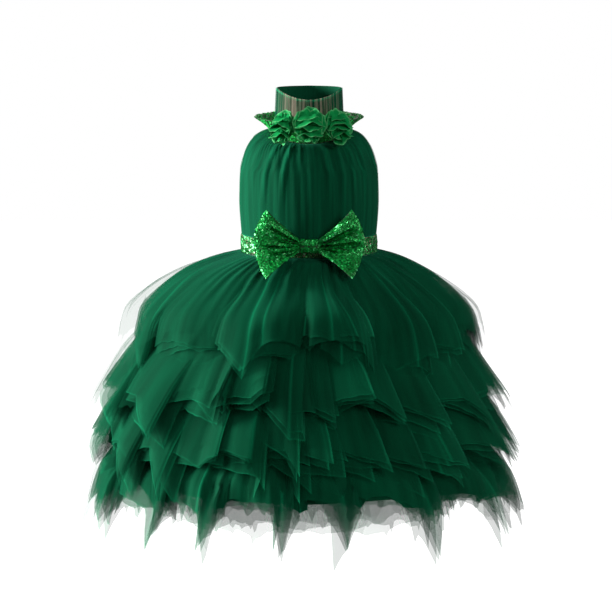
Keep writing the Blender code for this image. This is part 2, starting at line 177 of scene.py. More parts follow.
Ring = namedtuple("Ring", "height radius flute")
UNDERSKIRT = (
    Ring(-0.1734, 0.0880, 0.0),
    Ring(-0.2000, 0.0990, 0.0),
    Ring(-0.3000, 0.1410, 0.0),
    Ring(-0.4000, 0.1810, 0.0),
    Ring(HEM_LEVEL, 0.2110, 0.0),
)
TIERS = {
    1: (
        Ring(-0.1734, 0.0914, 0.0008),
        Ring(-0.1790, 0.1140, 0.0025),
        Ring(-0.1920, 0.1430, 0.0050),
        Ring(-0.2120, 0.1710, 0.0085),
        Ring(-0.2400, 0.1985, 0.0120),
        Ring(-0.2640, 0.2060, 0.0135),
        Ring(-0.2820, 0.2085, 0.0160),
    ),
    2: (
        Ring(-0.2020, 0.1026, 0.0006),
        Ring(-0.2140, 0.1330, 0.0030),
        Ring(-0.2400, 0.1620, 0.0060),
        Ring(-0.2750, 0.1880, 0.0080),
        Ring(-0.3100, 0.2120, 0.0160),
        Ring(-0.3500, 0.2350, 0.0260),
    ),
    3: (
        Ring(-0.2760, 0.1346, 0.0006),
        Ring(-0.2900, 0.1600, 0.0030),
        Ring(-0.3200, 0.1860, 0.0060),
        Ring(-0.3500, 0.2115, 0.0100),
        Ring(-0.3800, 0.2325, 0.0180),
        Ring(-0.4120, 0.2470, 0.0260),
    ),
    4: (
        Ring(-0.3460, 0.1640, 0.0006),
        Ring(-0.3650, 0.1860, 0.0030),
        Ring(-0.3950, 0.2090, 0.0070),
        Ring(-0.4250, 0.2290, 0.0120),
        Ring(-0.4550, 0.2500, 0.0210),
        Ring(-0.4900, 0.2560, 0.0270),
    ),
}

# A tier's cloth hangs from rib to rib, each a crease from its seam to its hem. The angle is where a rib
# meets the hem, and cloth that runs back to a smaller angle is the hidden part of a fold. The drop is how
# far the hem hangs there below the tier's last ring, the stand is its share of the flute, and the lean is
# how many degrees further round it starts at the seam.
Rib = namedtuple("Rib", "angle drop stand lean", defaults=(0.0,))
FRONT_RIBS = {
    1: (
        Rib(-90, 0.012, -0.3), Rib(-76, -0.004, 0.3), Rib(-63, 0.038, 0.8, 2), Rib(-67, 0.018, -0.4, 2),
        Rib(-53, -0.002, 0.15), Rib(-40, -0.003, 0.05), Rib(-24.5, 0.002, -1), Rib(-31, -0.01, 0.5),
        Rib(-19.5, 0.021, 1.25), Rib(-15, -0.009, 0.8), Rib(-8, -0.015, 0.5), Rib(-2.2, -0.011, 0.15),
        Rib(-1, -0.02, -1), Rib(1.7, -0.02, 0.6), Rib(9, -0.02, 0.7), Rib(16, -0.018, 1, -3),
        Rib(20.5, -0.009, 0.65), Rib(22, 0.024, 0.55), Rib(17.5, 0.038, -0.1), Rib(25, 0.01, -0.5),
        Rib(33, 0.029, 0.1), Rib(40, 0.014, 0.8), Rib(47, 0.012, 1.25, -4), Rib(42, 0, -0.9),
        Rib(61, 0.006, 1.2, -4), Rib(57, -0.01, -0.9), Rib(73, -0.018, 0.5), Rib(87, 0.022, 0.9),
    ),
    2: (
        Rib(-90, 0, -0.3), Rib(-78, 0, 0.4), Rib(-65, 0.03, 0.9, 4), Rib(-69, 0.005, -0.3, 4),
        Rib(-57, 0, 0.3, 6), Rib(-46, 0.047, 1, 16), Rib(-52, 0.02, -0.4, 14), Rib(-38, -0.006, -0.3, 8),
        Rib(-29, 0.01, 0.3, 4), Rib(-24.6, -0.018, 0.8, 8), Rib(-28, 0, -0.3),
        Rib(-15.3, -0.011, 0.6, -2), Rib(-11.3, -0.026, 0.4), Rib(-13.5, 0, -0.4),
        Rib(-3.8, 0.032, 0.8, -2), Rib(0, 0.032, 0.5, 1), Rib(-1.5, 0, -1), Rib(9.6, 0.014, 0.6, -4),
        Rib(6.5, 0, -0.3), Rib(20.5, -0.018, 0.9, -5), Rib(16.5, -0.026, -0.3),
        Rib(30.6, 0.019, 0.8, -3), Rib(26.5, 0, -0.4), Rib(45, 0.034, 0.95, -7), Rib(40.5, 0, -0.3),
        Rib(55, 0.005, 0.4, -3), Rib(65, 0.042, 0.9, -5), Rib(60.5, 0.01, -0.3), Rib(77, 0, 0.4),
        Rib(87, 0.025, 0.8),
    ),
    3: (
        Rib(-91, 0, -0.3), Rib(-79, -0.004, 0.3), Rib(-68, 0.03, 0.8, 4), Rib(-71.5, 0.01, -0.3, 4),
        Rib(-61, 0, 0.3, 4), Rib(-54, 0.048, 0.95, 9), Rib(-58.5, 0.02, -0.3, 6), Rib(-48, 0, 0.2, 6),
        Rib(-41, 0.052, 0.85, 12), Rib(-46, 0.01, -0.4, 8), Rib(-31, 0.018, 0.3, 4), Rib(-24, 0, 0.7, 3),
        Rib(-28, -0.004, -0.3), Rib(-14.3, 0.004, 0.8), Rib(-10.6, 0.04, 0.7, 2), Rib(-13.5, 0, -0.5),
        Rib(-5, -0.004, 0.2), Rib(-0.8, 0.026, 0.85), Rib(-4, 0, -0.4), Rib(8.4, 0.007, 0.8, -3),
        Rib(4.5, -0.006, -0.3), Rib(15, 0, 0.4, -2), Rib(23.6, 0.01, 0.95, -5), Rib(19.5, 0, -0.3),
        Rib(35, 0.022, 0.8, -4), Rib(31, 0, -0.3), Rib(43.4, 0.016, 0.9, -7), Rib(50.4, 0.028, 0.7, -4),
        Rib(46, 0, -0.3), Rib(62, 0.005, 0.5), Rib(74, 0.035, 0.9), Rib(70, 0, -0.3),
        Rib(87, 0.028, 0.8),
    ),
    4: (
        Rib(-91, 0, -0.3), Rib(-77, 0, 0.3), Rib(-65, 0.03, 0.8, 4), Rib(-68.5, 0, -0.3, 2),
        Rib(-53, -0.004, 0.3, 2), Rib(-47, 0, 0.6, 4), Rib(-44, 0.051, 0.8, 4), Rib(-41, 0, 0.5, 4),
        Rib(-45, -0.01, -0.3, 2), Rib(-34, -0.014, 0.3, 2), Rib(-29.5, -0.004, 0.7, 2),
        Rib(-27, 0.044, 0.8, 2), Rib(-24, -0.008, 0.6, 2), Rib(-28.5, -0.012, -0.3),
        Rib(-15, -0.022, 0.3), Rib(-8, -0.016, 0.6), Rib(-5.4, 0.044, 0.8), Rib(-2.5, -0.014, 0.5),
        Rib(-6.5, -0.02, -0.3), Rib(4.7, -0.026, 0.3), Rib(9, -0.016, 0.6), Rib(11.6, 0.033, 0.8),
        Rib(14.5, -0.014, 0.5), Rib(10.5, -0.02, -0.3), Rib(20, -0.024, 0.3), Rib(28, -0.018, 0.5),
        Rib(33.5, 0, 0.6, -2), Rib(37, 0.05, 0.9, -2), Rib(40.5, 0, 0.6, -2), Rib(36, -0.01, -0.3),
        Rib(50, -0.01, 0.4), Rib(61, 0, 0.6), Rib(65, 0.046, 0.9, -3), Rib(68.5, 0, 0.5),
        Rib(64, 0, -0.3), Rib(78, 0, 0.4), Rib(87, 0.022, 0.8),
    ),
}

Ply = namedtuple("Ply", "name tier outward side_reach flute longer side_longer stray finish seed")
PLIES = (  # lengths in metres; stray, from 0 to 1, is how far a ply's folds leave those of its tier
    Ply("tier_4_veil", 4, -0.0040, 0.022, 0.80, 0.006, 0.028, 1.00, "veil", 45),
    Ply("tier_4_inner", 4, -0.0090, 0.006, 0.60, -0.014, -0.004, 1.00, "dense", 41),
    Ply("tier_4_lower", 4, -0.0060, 0.009, 0.75, 0.008, 0.006, 0.80, "thin_net", 46),
    Ply("tier_4_middle", 4, -0.0030, 0.010, 0.85, 0.000, 0.003, 0.50, "thin_net", 44),
    Ply("tier_4_over", 4, -0.0010, 0.011, 0.95, 0.004, 0.003, 0.20, "thin_net", 47),
    Ply("tier_4_outer", 4, 0.0010, 0.012, 1.00, -0.002, 0.002, 0.00, "thin_net", 42),
    Ply("tier_3_veil", 3, -0.0080, 0.032, 0.60, -0.010, 0.022, 1.00, "veil", 33),
    Ply("tier_3_inner", 3, -0.0090, 0.013, 0.60, 0.004, 0.010, 1.00, "dense", 31),
    Ply("tier_3_lower", 3, -0.0060, 0.018, 0.75, 0.018, 0.014, 1.00, "net", 36),
    Ply("tier_3_middle", 3, -0.0030, 0.020, 0.85, 0.010, 0.010, 0.70, "net", 34),
    Ply("tier_3_over", 3, -0.0010, 0.021, 0.95, 0.003, 0.006, 0.25, "net", 37),
    Ply("tier_3_outer", 3, 0.0010, 0.021, 1.00, -0.004, 0.002, 0.00, "net", 32),
    Ply("tier_2_veil", 2, -0.0080, 0.036, 0.60, -0.010, 0.020, 1.00, "veil", 23),
    Ply("tier_2_inner", 2, -0.0090, 0.012, 0.60, 0.004, 0.010, 1.00, "dense", 21),
    Ply("tier_2_lower", 2, -0.0060, 0.016, 0.75, 0.020, 0.018, 1.00, "net", 26),
    Ply("tier_2_middle", 2, -0.0030, 0.018, 0.85, 0.010, 0.012, 0.70, "net", 24),
    Ply("tier_2_over", 2, -0.0010, 0.019, 0.95, 0.003, 0.006, 0.25, "net", 27),
    Ply("tier_2_outer", 2, 0.0010, 0.019, 1.00, -0.004, 0.002, 0.00, "net", 22),
    Ply("tier_1_veil", 1, -0.0080, 0.034, 0.60, -0.010, 0.000, 1.00, "veil", 14),
    Ply("tier_1_inner", 1, -0.0090, 0.008, 0.60, 0.002, 0.004, 1.00, "dense", 11),
    Ply("tier_1_lower", 1, -0.0050, 0.011, 0.85, 0.020, 0.016, 0.95, "net", 16),
    Ply("tier_1_middle", 1, -0.0020, 0.012, 0.95, 0.011, 0.012, 0.55, "net", 12),
    Ply("tier_1_over", 1, -0.0006, 0.013, 0.98, 0.003, 0.005, 0.25, "net", 17),
    Ply("tier_1_outer", 1, 0.0010, 0.013, 1.00, 0.000, 0.000, 0.00, "net", 13),
)
LEFT_REACH = 1.45  # times the side reach on the left, as the front is seen

BodiceFold = namedtuple("BodiceFold", "neck_angle waist_angle width height start end")
BODICE_FOLDS = (  # soft ridges that fan from the neck seam; angles and half widths in degrees
    BodiceFold(-63.0, -77.0, 6.0, 0.0012, 0.05, 0.95),
    BodiceFold(-46.0, -58.0, 5.0, 0.0009, 0.10, 0.90),
    BodiceFold(-30.0, -43.0, 4.2, 0.0017, 0.16, 0.98),
    BodiceFold(-23.0, -31.0, 3.0, 0.0008, 0.10, 0.70),
    BodiceFold(-16.0, -24.0, 3.4, 0.0019, 0.08, 0.92),
    BodiceFold(-7.0, -11.0, 3.2, 0.0008, 0.05, 0.60),
    BodiceFold(3.0, 2.0, 4.5, 0.0007, 0.20, 0.95),
    BodiceFold(14.0, 17.0, 3.6, 0.0013, 0.05, 0.80),
    BodiceFold(25.0, 31.0, 3.4, 0.0010, 0.12, 0.85),
    BodiceFold(38.0, 41.0, 4.0, 0.0016, 0.10, 0.96),
    BodiceFold(50.0, 57.0, 4.5, 0.0013, 0.14, 0.90),
    BodiceFold(65.0, 75.0, 5.0, 0.0010, 0.05, 0.95),
)
# How much paler the ridges of the bodice net are painted, as a painted highlight
RIDGE_HIGHLIGHT = 0.62


def metres(name, description, default):
    return FloatProperty(name=name, description=description, default=default, unit="LENGTH", precision=4)


def colour(name, description, default):
    return FloatVectorProperty(name=name, description=description, default=default, subtype="COLOR")


class DressCloth(bpy.types.PropertyGroup):
    """Sizes of the soft parts that a maker would vary."""

    ply_columns: IntProperty(name="Ply columns", description="Grid columns round a tulle ply", default=560)
    ply_rows: IntProperty(name="Ply rows", description="Grid rows down a tulle ply", default=20)
    gather_depth: metres("Gather depth", "Depth of the fine gathers below a seam", 0.0010)
    pleat_depth: metres("Pleat depth", "Depth of the broader pleats below a seam", 0.0036)
    crease_depth: metres("Crease depth", "Depth of the sharp creases that run down a ply", 0.0020)
    sequin_radius: metres("Sequin radius", "Radius of one sequin", 0.0014)
    petal_wave: metres("Petal wave", "Depth of the wave along a petal's edge", 0.0024)


class DressColours(bpy.types.PropertyGroup):
    """Colours of the cloths, as linear light."""

    tulle: colour("Tulle", "Colour of the net", (0.001, 0.088, 0.037))
    satin: colour("Satin", "Colour of the underskirt", (0.001, 0.070, 0.030))
    sequin: colour("Sequins", "Colour of the sequins on the bow", (0.004, 0.340, 0.052))
    sequin_bright: colour("Band sequins", "Colour of the sequins on the bands", (0.022, 0.400, 0.075))
    petal: colour("Petals", "Colour of the chiffon", (0.004, 0.245, 0.058))
    petal_edge: colour("Petal edge", "Colour of a petal's cut edge", (0.095, 0.420, 0.155))
    nude: colour("Nude net", "Colour of the net behind", (0.680, 0.500, 0.400))
    petticoat: colour("Petticoat", "Colour of the net below the hem", (0.24, 0.56, 0.36))
    resin: colour("Resin", "Colour of the buttons", (0.004, 0.110, 0.050))


# Forms

def smooth_step(value):
    value = np.clip(value, 0.0, 1.0)
    return value * value * (3.0 - 2.0 * value)


def read_table(table, position):
    """The named columns of a table at positions from 0 (first row) to 1 (last row), on a smooth curve."""
    rows = np.array(table)
    place = np.clip(position, 0.0, 1.0) * (len(rows) - 1)
    row = np.minimum(place.astype(int), len(rows) - 2)
    share = (place - row)[..., None]
    before, start = rows[np.maximum(row - 1, 0)], rows[row]
    end, after = rows[row + 1], rows[np.minimum(row + 2, len(rows) - 1)]
    slope_in = np.where((start - before) * (end - start) > 0.0, (end - before) / 2.0, 0.0)
    slope_out = np.where((end - start) * (after - end) > 0.0, (after - start) / 2.0, 0.0)
    square, cube = share**2, share**3
    value = (
        start * (2 * cube - 3 * square + 1)
        + slope_in * (cube - 2 * square + share)
        + end * (3 * square - 2 * cube)
        + slope_out * (cube - square)
    )
    return type(table[0])(*np.moveaxis(value, -1, 0))


def round_points(half_width, half_depth, angle, height):
    """Points on ellipses round the garment."""
    turn = np.radians(angle)
    return np.stack((half_width * np.sin(turn), -half_depth * np.cos(turn), height + 0.0 * turn), axis=-1)


def neck_seam(angle):
    return NECK_SEAM_HEIGHT - NECK_SEAM_DIP * np.cos(np.radians(angle))


def uneven_waves(place, counts, seed):
    """A sum of waves round a ring, each of a whole number of cycles, with uneven strength along the way."""
    chance = random.Random(seed)
    total = np.zeros_like(place)
    for count in counts:
        strength = 0.55 + 0.45 * np.sin(2 * np.pi * (chance.randint(3, 7) * place + chance.random()))
        drift = 0.35 * np.sin(2 * np.pi * (chance.randint(4, 9) * place + chance.random()))
        total += strength * np.sin(2 * np.pi * (count * place + chance.random()) + drift)
    return total / math.sqrt(len(counts))


def collar_form(outward, drop=0.0, gather_depth=0.00085):
    def form(across, down):
        angle = (across - 0.5) * 2.0 * (180.0 + COLLAR_LAP)
        front = np.maximum(np.cos(np.radians(angle)), 0.0)
        top = COLLAR_TOP - COLLAR_FRONT_DIP * front**1.8 - drop
        foot = neck_seam(angle) - COLLAR_TUCK
        spread = COLLAR_SPREAD * (down - 0.5) + outward
        spread = spread + gather_depth * uneven_waves(across, (57, 76, 107), 5)
        spread = spread + LAP_LIFT * smooth_step((angle - LAP_START) / LAP_RAMP)
        height = top + (foot - top) * down
        half_width = NECK_WIDTH / 2 - COLLAR_EASE + spread
        return round_points(half_width, NECK_DEPTH / 2 - COLLAR_EASE + spread, angle, height)

    return form


def turned(form):
    """The same form with its cut turned round, so that the cut's foot lies along the form's top."""
    return lambda across, down: form(1.0 - across, 1.0 - down)


def mirrored(form):
    """The same form with its cut's sides swapped, so that its other face is the outer one."""
    return lambda across, down: form(1.0 - across, down)


def band_form(across, down):
    angle = (across - 0.5) * 2.0 * (180.0 - BAND_OPENING)
    facing = np.cos(np.radians(angle))
    rim = BAND_RIM_HEIGHT - BAND_RIM_DIP * facing
    foot = neck_seam(angle) + BAND_LIFT
    outward = (1.0 - down) * (BAND_REACH - BAND_FRONT_TRIM * np.abs(facing))
    outward = outward * (1.0 - BAND_HOLLOW * np.sin(np.pi * down))
    height = rim + (foot - rim) * down
    half_width = NECK_WIDTH / 2 + BAND_EASE + outward
    return round_points(half_width, NECK_DEPTH / 2 + BAND_EASE + outward, angle, height)


def bodice_gathers(angle, down, seed):
    """Soft gathers that are tight at the neck seam, open over the chest and draw in again at the waist."""
    place = 0.5 + angle / 360.0
    strength = LOOSE_GATHER + CHEST_GATHER * np.sin(np.pi * np.clip(down, 0.0, 1.0)) ** 0.8
    drift = place * (1.06 - 0.06 * down) + 0.0040 * np.sin(2.2 * down + 21.0 * place)
    tight = TIGHT_GATHER * (1.0 - smooth_step(down / 0.7)) * uneven_waves(drift, (71, 103, 131), seed + 20)
    return tight + strength * uneven_waves(drift, (13, 23, 31, 47), seed)


def bodice_ridges(angle, down):
    """The soft ridges of the bodice, each between its start and its end down the cloth."""
    total = np.zeros_like(angle)
    for fold in BODICE_FOLDS:
        middle = fold.neck_angle + (fold.waist_angle - fold.neck_angle) * down
        hill = np.maximum(0.0, 1.0 - ((angle - middle) / fold.width) ** 2)
        window = smooth_step((down - fold.start) / 0.22)
        window = window * (1.0 - smooth_step((down - fold.end + 0.25) / 0.25))
        total += fold.height * hill**1.4 * window
    return total


def bodice_ridge_highlights(across, down):
    """How much paler the net is painted along its ridges: a painted highlight, partly for the two layers of
    it that lie together there.
    """
    angle = (across - 0.5) * 2.0 * read_table(BODICE, down).edge_angle
    return RIDGE_HIGHLIGHT * bodice_ridges(angle, down) / max(fold.height for fold in BODICE_FOLDS)


def bodice_front_form(outward, seed):
    def form(across, down):
        section = read_table(BODICE, down)
        edge = section.edge_angle - np.degrees(SEAM_GAP / section.half_width)
        angle = (across - 0.5) * 2.0 * edge
        lift = (neck_seam(angle) - neck_seam(90.0)) * (1.0 - smooth_step(down / 0.75))
        height = section.height + lift - FRONT_TUCK * (1.0 - smooth_step(down / 0.1))
        swell = outward + bodice_gathers(angle, down, seed) + bodice_ridges(angle, down)
        return round_points(section.half_width + swell, section.half_depth + swell, angle, height)

    return form


def bodice_back_form(outward, seed):
    def form(across, down):
        section = read_table(BODICE[UNDERARM:], down)
        edge = section.edge_angle - SIDE_SEAM_LAP
        angle = edge + across * (360.0 - 2.0 * edge)
        under = 1.0 - smooth_step(np.minimum(across, 1.0 - across) / 0.03)
        swell = outward + 0.8 * bodice_gathers(angle, 0.3 + 0.7 * down, seed) - BACK_TUCK * under
        height = section.height - BACK_DIP * np.sin(np.pi * across) * (1.0 - down)
        return round_points(section.half_width + swell, section.half_depth + swell, angle, height)

    return form


def waist_form(across, down):
    angle = (across - 0.5) * 360.0
    top = WAIST_TOP - SEAM_GAP
    height = top + (WAIST_BOTTOM - top) * down
    swell = BELT_SWELL * np.sin(np.pi * down) + BELT_RIPPLE * np.sin(np.radians(angle) * 11.0 + 4.0 * down)
    return round_points(WAIST_WIDTH / 2 + swell, WAIST_DEPTH / 2 + swell, angle, height)


def skirt_lean(height):
    upper = smooth_step((WAIST_BOTTOM - height) / 0.025)
    lower = smooth_step((LEAN_LEVEL - height) / 0.08)
    return SKIRT_LEAN * (0.5 * upper + 0.5 * lower)


def skirt_points(radius, angle, height):
    """Points round the skirt, which is less deep than wide and leans a little to one side."""
    points = round_points(radius, radius * DEPTH_SHARE, angle, height)
    points[..., 0] += skirt_lean(height)
    return points


def bow_dent(angle, height):
    """The share of its radius that the top tier keeps where the bow presses on it."""
    across = np.exp(-((angle / BOW_DENT_REACH) ** 2))
    down = smooth_step((BOW_DENT_TOP - height) / 0.014)
    down = down * (1.0 - smooth_step((BOW_DENT_FOOT - height) / 0.032))
    return 1.0 - BOW_DENT * across * down


def underskirt_form(across, down):
    ring = read_table(UNDERSKIRT, down)
    angle = (across - 0.5) * 360.0
    turn = np.radians(angle)
    wave = SATIN_FLUTE * down * np.cos(turn * 9.0) + SATIN_RIPPLE * down * np.cos(turn * 31.0)
    return skirt_points(ring.radius + wave, angle, ring.height)


def petticoat_form(below, width, seed):
    """Net under the satin that shows below its hem, fluted, with an uneven edge."""

    def form(across, down):
        angle = (across - 0.5) * 360.0
        ragged = PETTICOAT_RAGGED * np.maximum(0.0, uneven_waves(across, (43, 71, 97), seed + 2)) ** 2
        hem = HEM_LEVEL - below - ragged + PETTICOAT_WAVE * uneven_waves(across, (7, 17, 29), seed)
        top = HEM_LEVEL + PETTICOAT_OVERLAP
        height = top + (hem - top) * down
        flute = PETTICOAT_FLUTE * down * uneven_waves(across, (31, 47, 61), seed + 1)
        return skirt_points(width - PETTICOAT_SPREAD * (1.0 - down) + flute, angle, height)

    return form


# What chance draws from for the ribs round the back: widths as shares of a facet, the hidden part and the
# middle rib's place as shares of the width, drops in metres, stands as shares of the flute, lean in degrees
REAR_WIDTH = (0.75, 1.35)
REAR_HIDDEN = (0.20, 0.45)
OUTER_DROP = (0.010, 0.046)
OUTER_STAND = (0.7, 1.0)
OUTER_LEAN = (-9, 9)
INNER_DROP = (-0.010, 0.014)
INNER_STAND = (-0.5, -0.2)
MIDDLE_PLACE = (0.3, 0.7)
MIDDLE_DROP = (-0.006, 0.012)
MIDDLE_STAND = (0.1, 0.4)


def ribs_round(front, facet, seed):
    """The ribs that the front shows, and uneven ones of the same kind round the back."""
    chance = random.Random(seed)
    ribs = list(front)
    angle, end = front[-1].angle, front[0].angle + 360.0
    while angle < end - 1.6 * facet:
        wide = facet * chance.uniform(*REAR_WIDTH)
        hidden = wide * chance.uniform(*REAR_HIDDEN)
        if chance.random() < 0.6:
            middle = angle + wide * chance.uniform(*MIDDLE_PLACE)
            ribs.append(Rib(middle, chance.uniform(*MIDDLE_DROP), chance.uniform(*MIDDLE_STAND)))
        drop, stand = chance.uniform(*OUTER_DROP), chance.uniform(*OUTER_STAND)
        outer = Rib(angle + wide, drop, stand, chance.uniform(*OUTER_LEAN))
        inner = Rib(angle + wide, chance.uniform(*INNER_DROP), chance.uniform(*INNER_STAND))
        if chance.random() < 0.5:
            ribs += [outer, inner._replace(angle=inner.angle - hidden)]
        else:
            ribs += [inner, outer._replace(angle=outer.angle - hidden)]
        angle += wide - hidden
    return tuple(ribs)


TIP_LEVEL = {1: 0.075, 2: 0.075, 3: 0.075, 4: 0.068}  # metres that a corner may hang below the last ring
REAR_FACETS = {1: 17, 2: 15, 3: 13, 4: 12}  # degrees from rib to rib round the back, before chance
RIBS = {tier: ribs_round(FRONT_RIBS[tier], facet, 10 + tier) for tier, facet in REAR_FACETS.items()}
PLY_CREASES = 80

# Ranges for one crease: its start and length are shares of the cloth's length, its width and sway are
# shares of the cloth's width, and its strength is a share of the panel's crease depth
CREASE_START = (-0.2, 0.5)
CREASE_LENGTH = (0.3, 0.9)
CREASE_WIDTH = (0.0022, 0.0060)
CREASE_SWAY = (-0.014, 0.014)
CREASE_STRENGTH = (0.3, 1.0)

# The folds and the hem of a ply
CORNER_START = 0.40  # how far down a ply its corners begin
CORNER_FLARE = 0.20  # how far a corner stands out for each metre that it hangs
FOLD_BULGE = 0.22
WIDE_FOLD = 14.0  # degrees from rib to rib at which a fold bulges in full
CUT_RIPPLE = 0.0009
CUT_WAVE = 0.0032
CUT_RAGGED = 0.015
FOLD_EDGE = 0.65  # a rib that stands out further than this is the outer edge of a fold


def ply_creases(across, down, depth, seed):
    """Thin creases that run down a ply, uneven in place, length and depth, as stiff net has them."""
    chance = random.Random(seed)
    total = np.zeros_like(across)
    for _ in range(PLY_CREASES):
        centre = chance.random()
        start = chance.uniform(*CREASE_START)
        end = start + chance.uniform(*CREASE_LENGTH)
        width = chance.uniform(*CREASE_WIDTH)
        sway = chance.uniform(*CREASE_SWAY) * chance.choice((1.0, 1.0, 3.0))
        strength = chance.uniform(*CREASE_STRENGTH) * chance.choice((-1.0, 1.0)) * depth
        away = np.abs((across - centre - sway * down + 0.5) % 1.0 - 0.5)
        tent = np.maximum(0.0, 1.0 - away / width)
        window = smooth_step((down - start) / 0.25) * (1.0 - smooth_step((down - end) / 0.25))
        total += strength * tent**1.3 * window
    return total


def ply_ribs(ply, columns):
    """A ply's ribs: place across the cloth, angles at seam and hem, drop, stand and start of the fold."""
    chance = random.Random(ply.seed)
    rows = []
    for rib in RIBS[ply.tier]:
        angle = rib.angle + 5.0 * ply.stray * chance.uniform(-1.0, 1.0)
        drop = rib.drop * (1.0 + 0.5 * ply.stray * chance.uniform(-1.0, 1.0))
        drop += (0.014 * ply.stray + 0.002) * chance.uniform(-1.0, 1.0)
        if ply.finish == "dense":
            drop = min(drop, 0.004)
        stand = rib.stand * (1.0 + 0.3 * ply.stray * chance.uniform(-1.0, 1.0))
        start = chance.uniform(-0.25, 0.15 + 0.2 * ply.stray)
        rows.append((angle, drop, stand, rib.lean, start))
    rows = np.array(rows)
    rows = np.concatenate((rows, rows[:1] + (360.0, 0.0, 0.0, 0.0, 0.0)))
    length = np.abs(np.diff(rows[:, 0])) + 1.2
    place = np.concatenate(([0.0], np.cumsum(length))) / np.sum(length)
    place = np.round(place * columns) / columns
    wide = len(rows) - 1
    around = np.concatenate((rows[:-1, 0] - 360.0, rows[:-1, 0], rows[:-1, 0] + 360.0))
    soft = np.convolve(around, np.ones(7) / 7.0, mode="same")[wide:2 * wide + 1]
    return place, soft + rows[:, 3], rows[:, 0], rows[:, 1], rows[:, 2], rows[:, 4]


def ply_form(ply, cloth):
    """A gathered ring of net: folds that open downwards from the seam, over a hem with pointed corners."""
    rings = TIERS[ply.tier]
    place, seam, hem, drops, stands, starts = ply_ribs(ply, cloth.ply_columns)

    def form(across, down):
        rib = np.clip(np.searchsorted(place, across + 1e-6, side="right") - 1, 0, len(place) - 2)
        along = np.clip((across - place[rib]) / (place[rib + 1] - place[rib]), 0.0, 1.0)

        def between(values, grown=None):
            here, there = values[rib], values[rib + 1]
            if grown is not None:
                here, there = here * grown[0], there * grown[1]
            return here * (1.0 - along) + there * along

        opened = [smooth_step((down - start) / (1.0 - start)) for start in (starts[rib], starts[rib + 1])]
        angle = between(seam) + between(hem - seam, opened)
        wide = np.abs(hem[rib + 1] - hem[rib])
        bulge = np.minimum(wide / WIDE_FOLD, 1.0) * np.sin(np.pi * along) * down
        stand = between(stands, opened) + FOLD_BULGE * bulge
        ring = read_table(rings, down)
        corner = np.maximum(0.0, down - CORNER_START) / (1.0 - CORNER_START)
        cut = CUT_RIPPLE * uneven_waves(across, (53, 89, 149), ply.seed + 3)
        cut = cut + CUT_WAVE * uneven_waves(across, (9, 17, 31), ply.seed + 5)
        sides = np.abs(np.sin(np.radians(angle))) ** 3
        hang = between(drops) + ply.longer + (ply.side_longer - ply.longer) * sides
        if ply.finish in ("thin_net", "veil"):
            tufts = np.maximum(0.0, uneven_waves(across, (67, 101, 127), ply.seed + 4))
            cut = cut + CUT_RAGGED * tufts**2
        hang = np.minimum(hang + cut - 0.004 * bulge, TIP_LEVEL[ply.tier])
        height = ring.height - hang * corner**1.4
        flare = ring.radius + ply.outward * smooth_step(down / 0.12)
        left = 1.0 + (LEFT_REACH - 1.0) * smooth_step(-3.0 * np.sin(np.radians(angle)))
        flare = flare + ply.side_reach * left * sides * smooth_step(down / 0.75)
        flare = flare + ring.flute * stand * ply.flute
        flare = flare + CORNER_FLARE * np.maximum(hang, 0.0) * corner**2
        fine = cloth.gather_depth * (0.9 - 0.6 * smooth_step(down / 0.8)) * smooth_step(down / 0.04)
        flare = flare + fine * uneven_waves(across, (83, 119, 163), ply.seed)
        pleats = smooth_step(down / 0.14) * (1.0 - smooth_step((down - 0.25) / 0.55))
        flare = flare + cloth.pleat_depth * pleats * uneven_waves(angle / 360.0, (37, 53, 71), 70 + ply.tier)
        depth = cloth.crease_depth * (0.3 + 0.7 * down)
        flare = flare + ply_creases(across, down, depth, ply.seed + 7)
        if ply.tier == 1:
            flare = flare * bow_dent((angle + 180.0) % 360.0 - 180.0, height)
        return skirt_points(flare, angle, height)

    def edge(across, down):
        """1 on the outer edge of a fold, where two layers of net lie together: the mask of a painted
        highlight there, partly for the two layers and partly painted light.
        """
        rib = np.clip(np.searchsorted(place, across + 1e-6, side="right") - 1, 0, len(place) - 1)
        on_rib = np.abs(across - place[rib]) < 0.3 / cloth.ply_columns
        return np.where(on_rib & (stands[rib] > FOLD_EDGE), smooth_step(down / 0.5), 0.0)

    return form, edge


BowCrease = namedtuple("BowCrease", "down width depth reach")
BOW_CREASES = {  # troughs that run out from the knot: place down the loop, half width, depth and length
    -1.0: (
        BowCrease(0.23, 0.095, 0.0078, 0.86),
        BowCrease(0.43, 0.055, 0.0046, 0.66),
        BowCrease(0.57, 0.060, 0.0066, 0.95),
        BowCrease(0.73, 0.060, 0.0056, 0.84),
        BowCrease(0.90, 0.060, 0.0036, 0.60),
    ),
    1.0: (
        BowCrease(0.10, 0.050, 0.0032, 0.50),
        BowCrease(0.28, 0.080, 0.0074, 0.94),
        BowCrease(0.40, 0.045, 0.0036, 0.66),
        BowCrease(0.54, 0.085, 0.0090, 0.98),
        BowCrease(0.70, 0.055, 0.0044, 0.55),
    ),
}


def bow_creases(side, spread, down):
    total = np.zeros_like(down)
    for crease in BOW_CREASES[side]:
        trough = np.maximum(0.0, 1.0 - ((down - crease.down) / crease.width) ** 2)
        fade = 1.0 - smooth_step((spread - crease.reach + 0.25) / 0.25)
        total += crease.depth * trough**1.5 * fade * smooth_step(spread / 0.12)
    return total


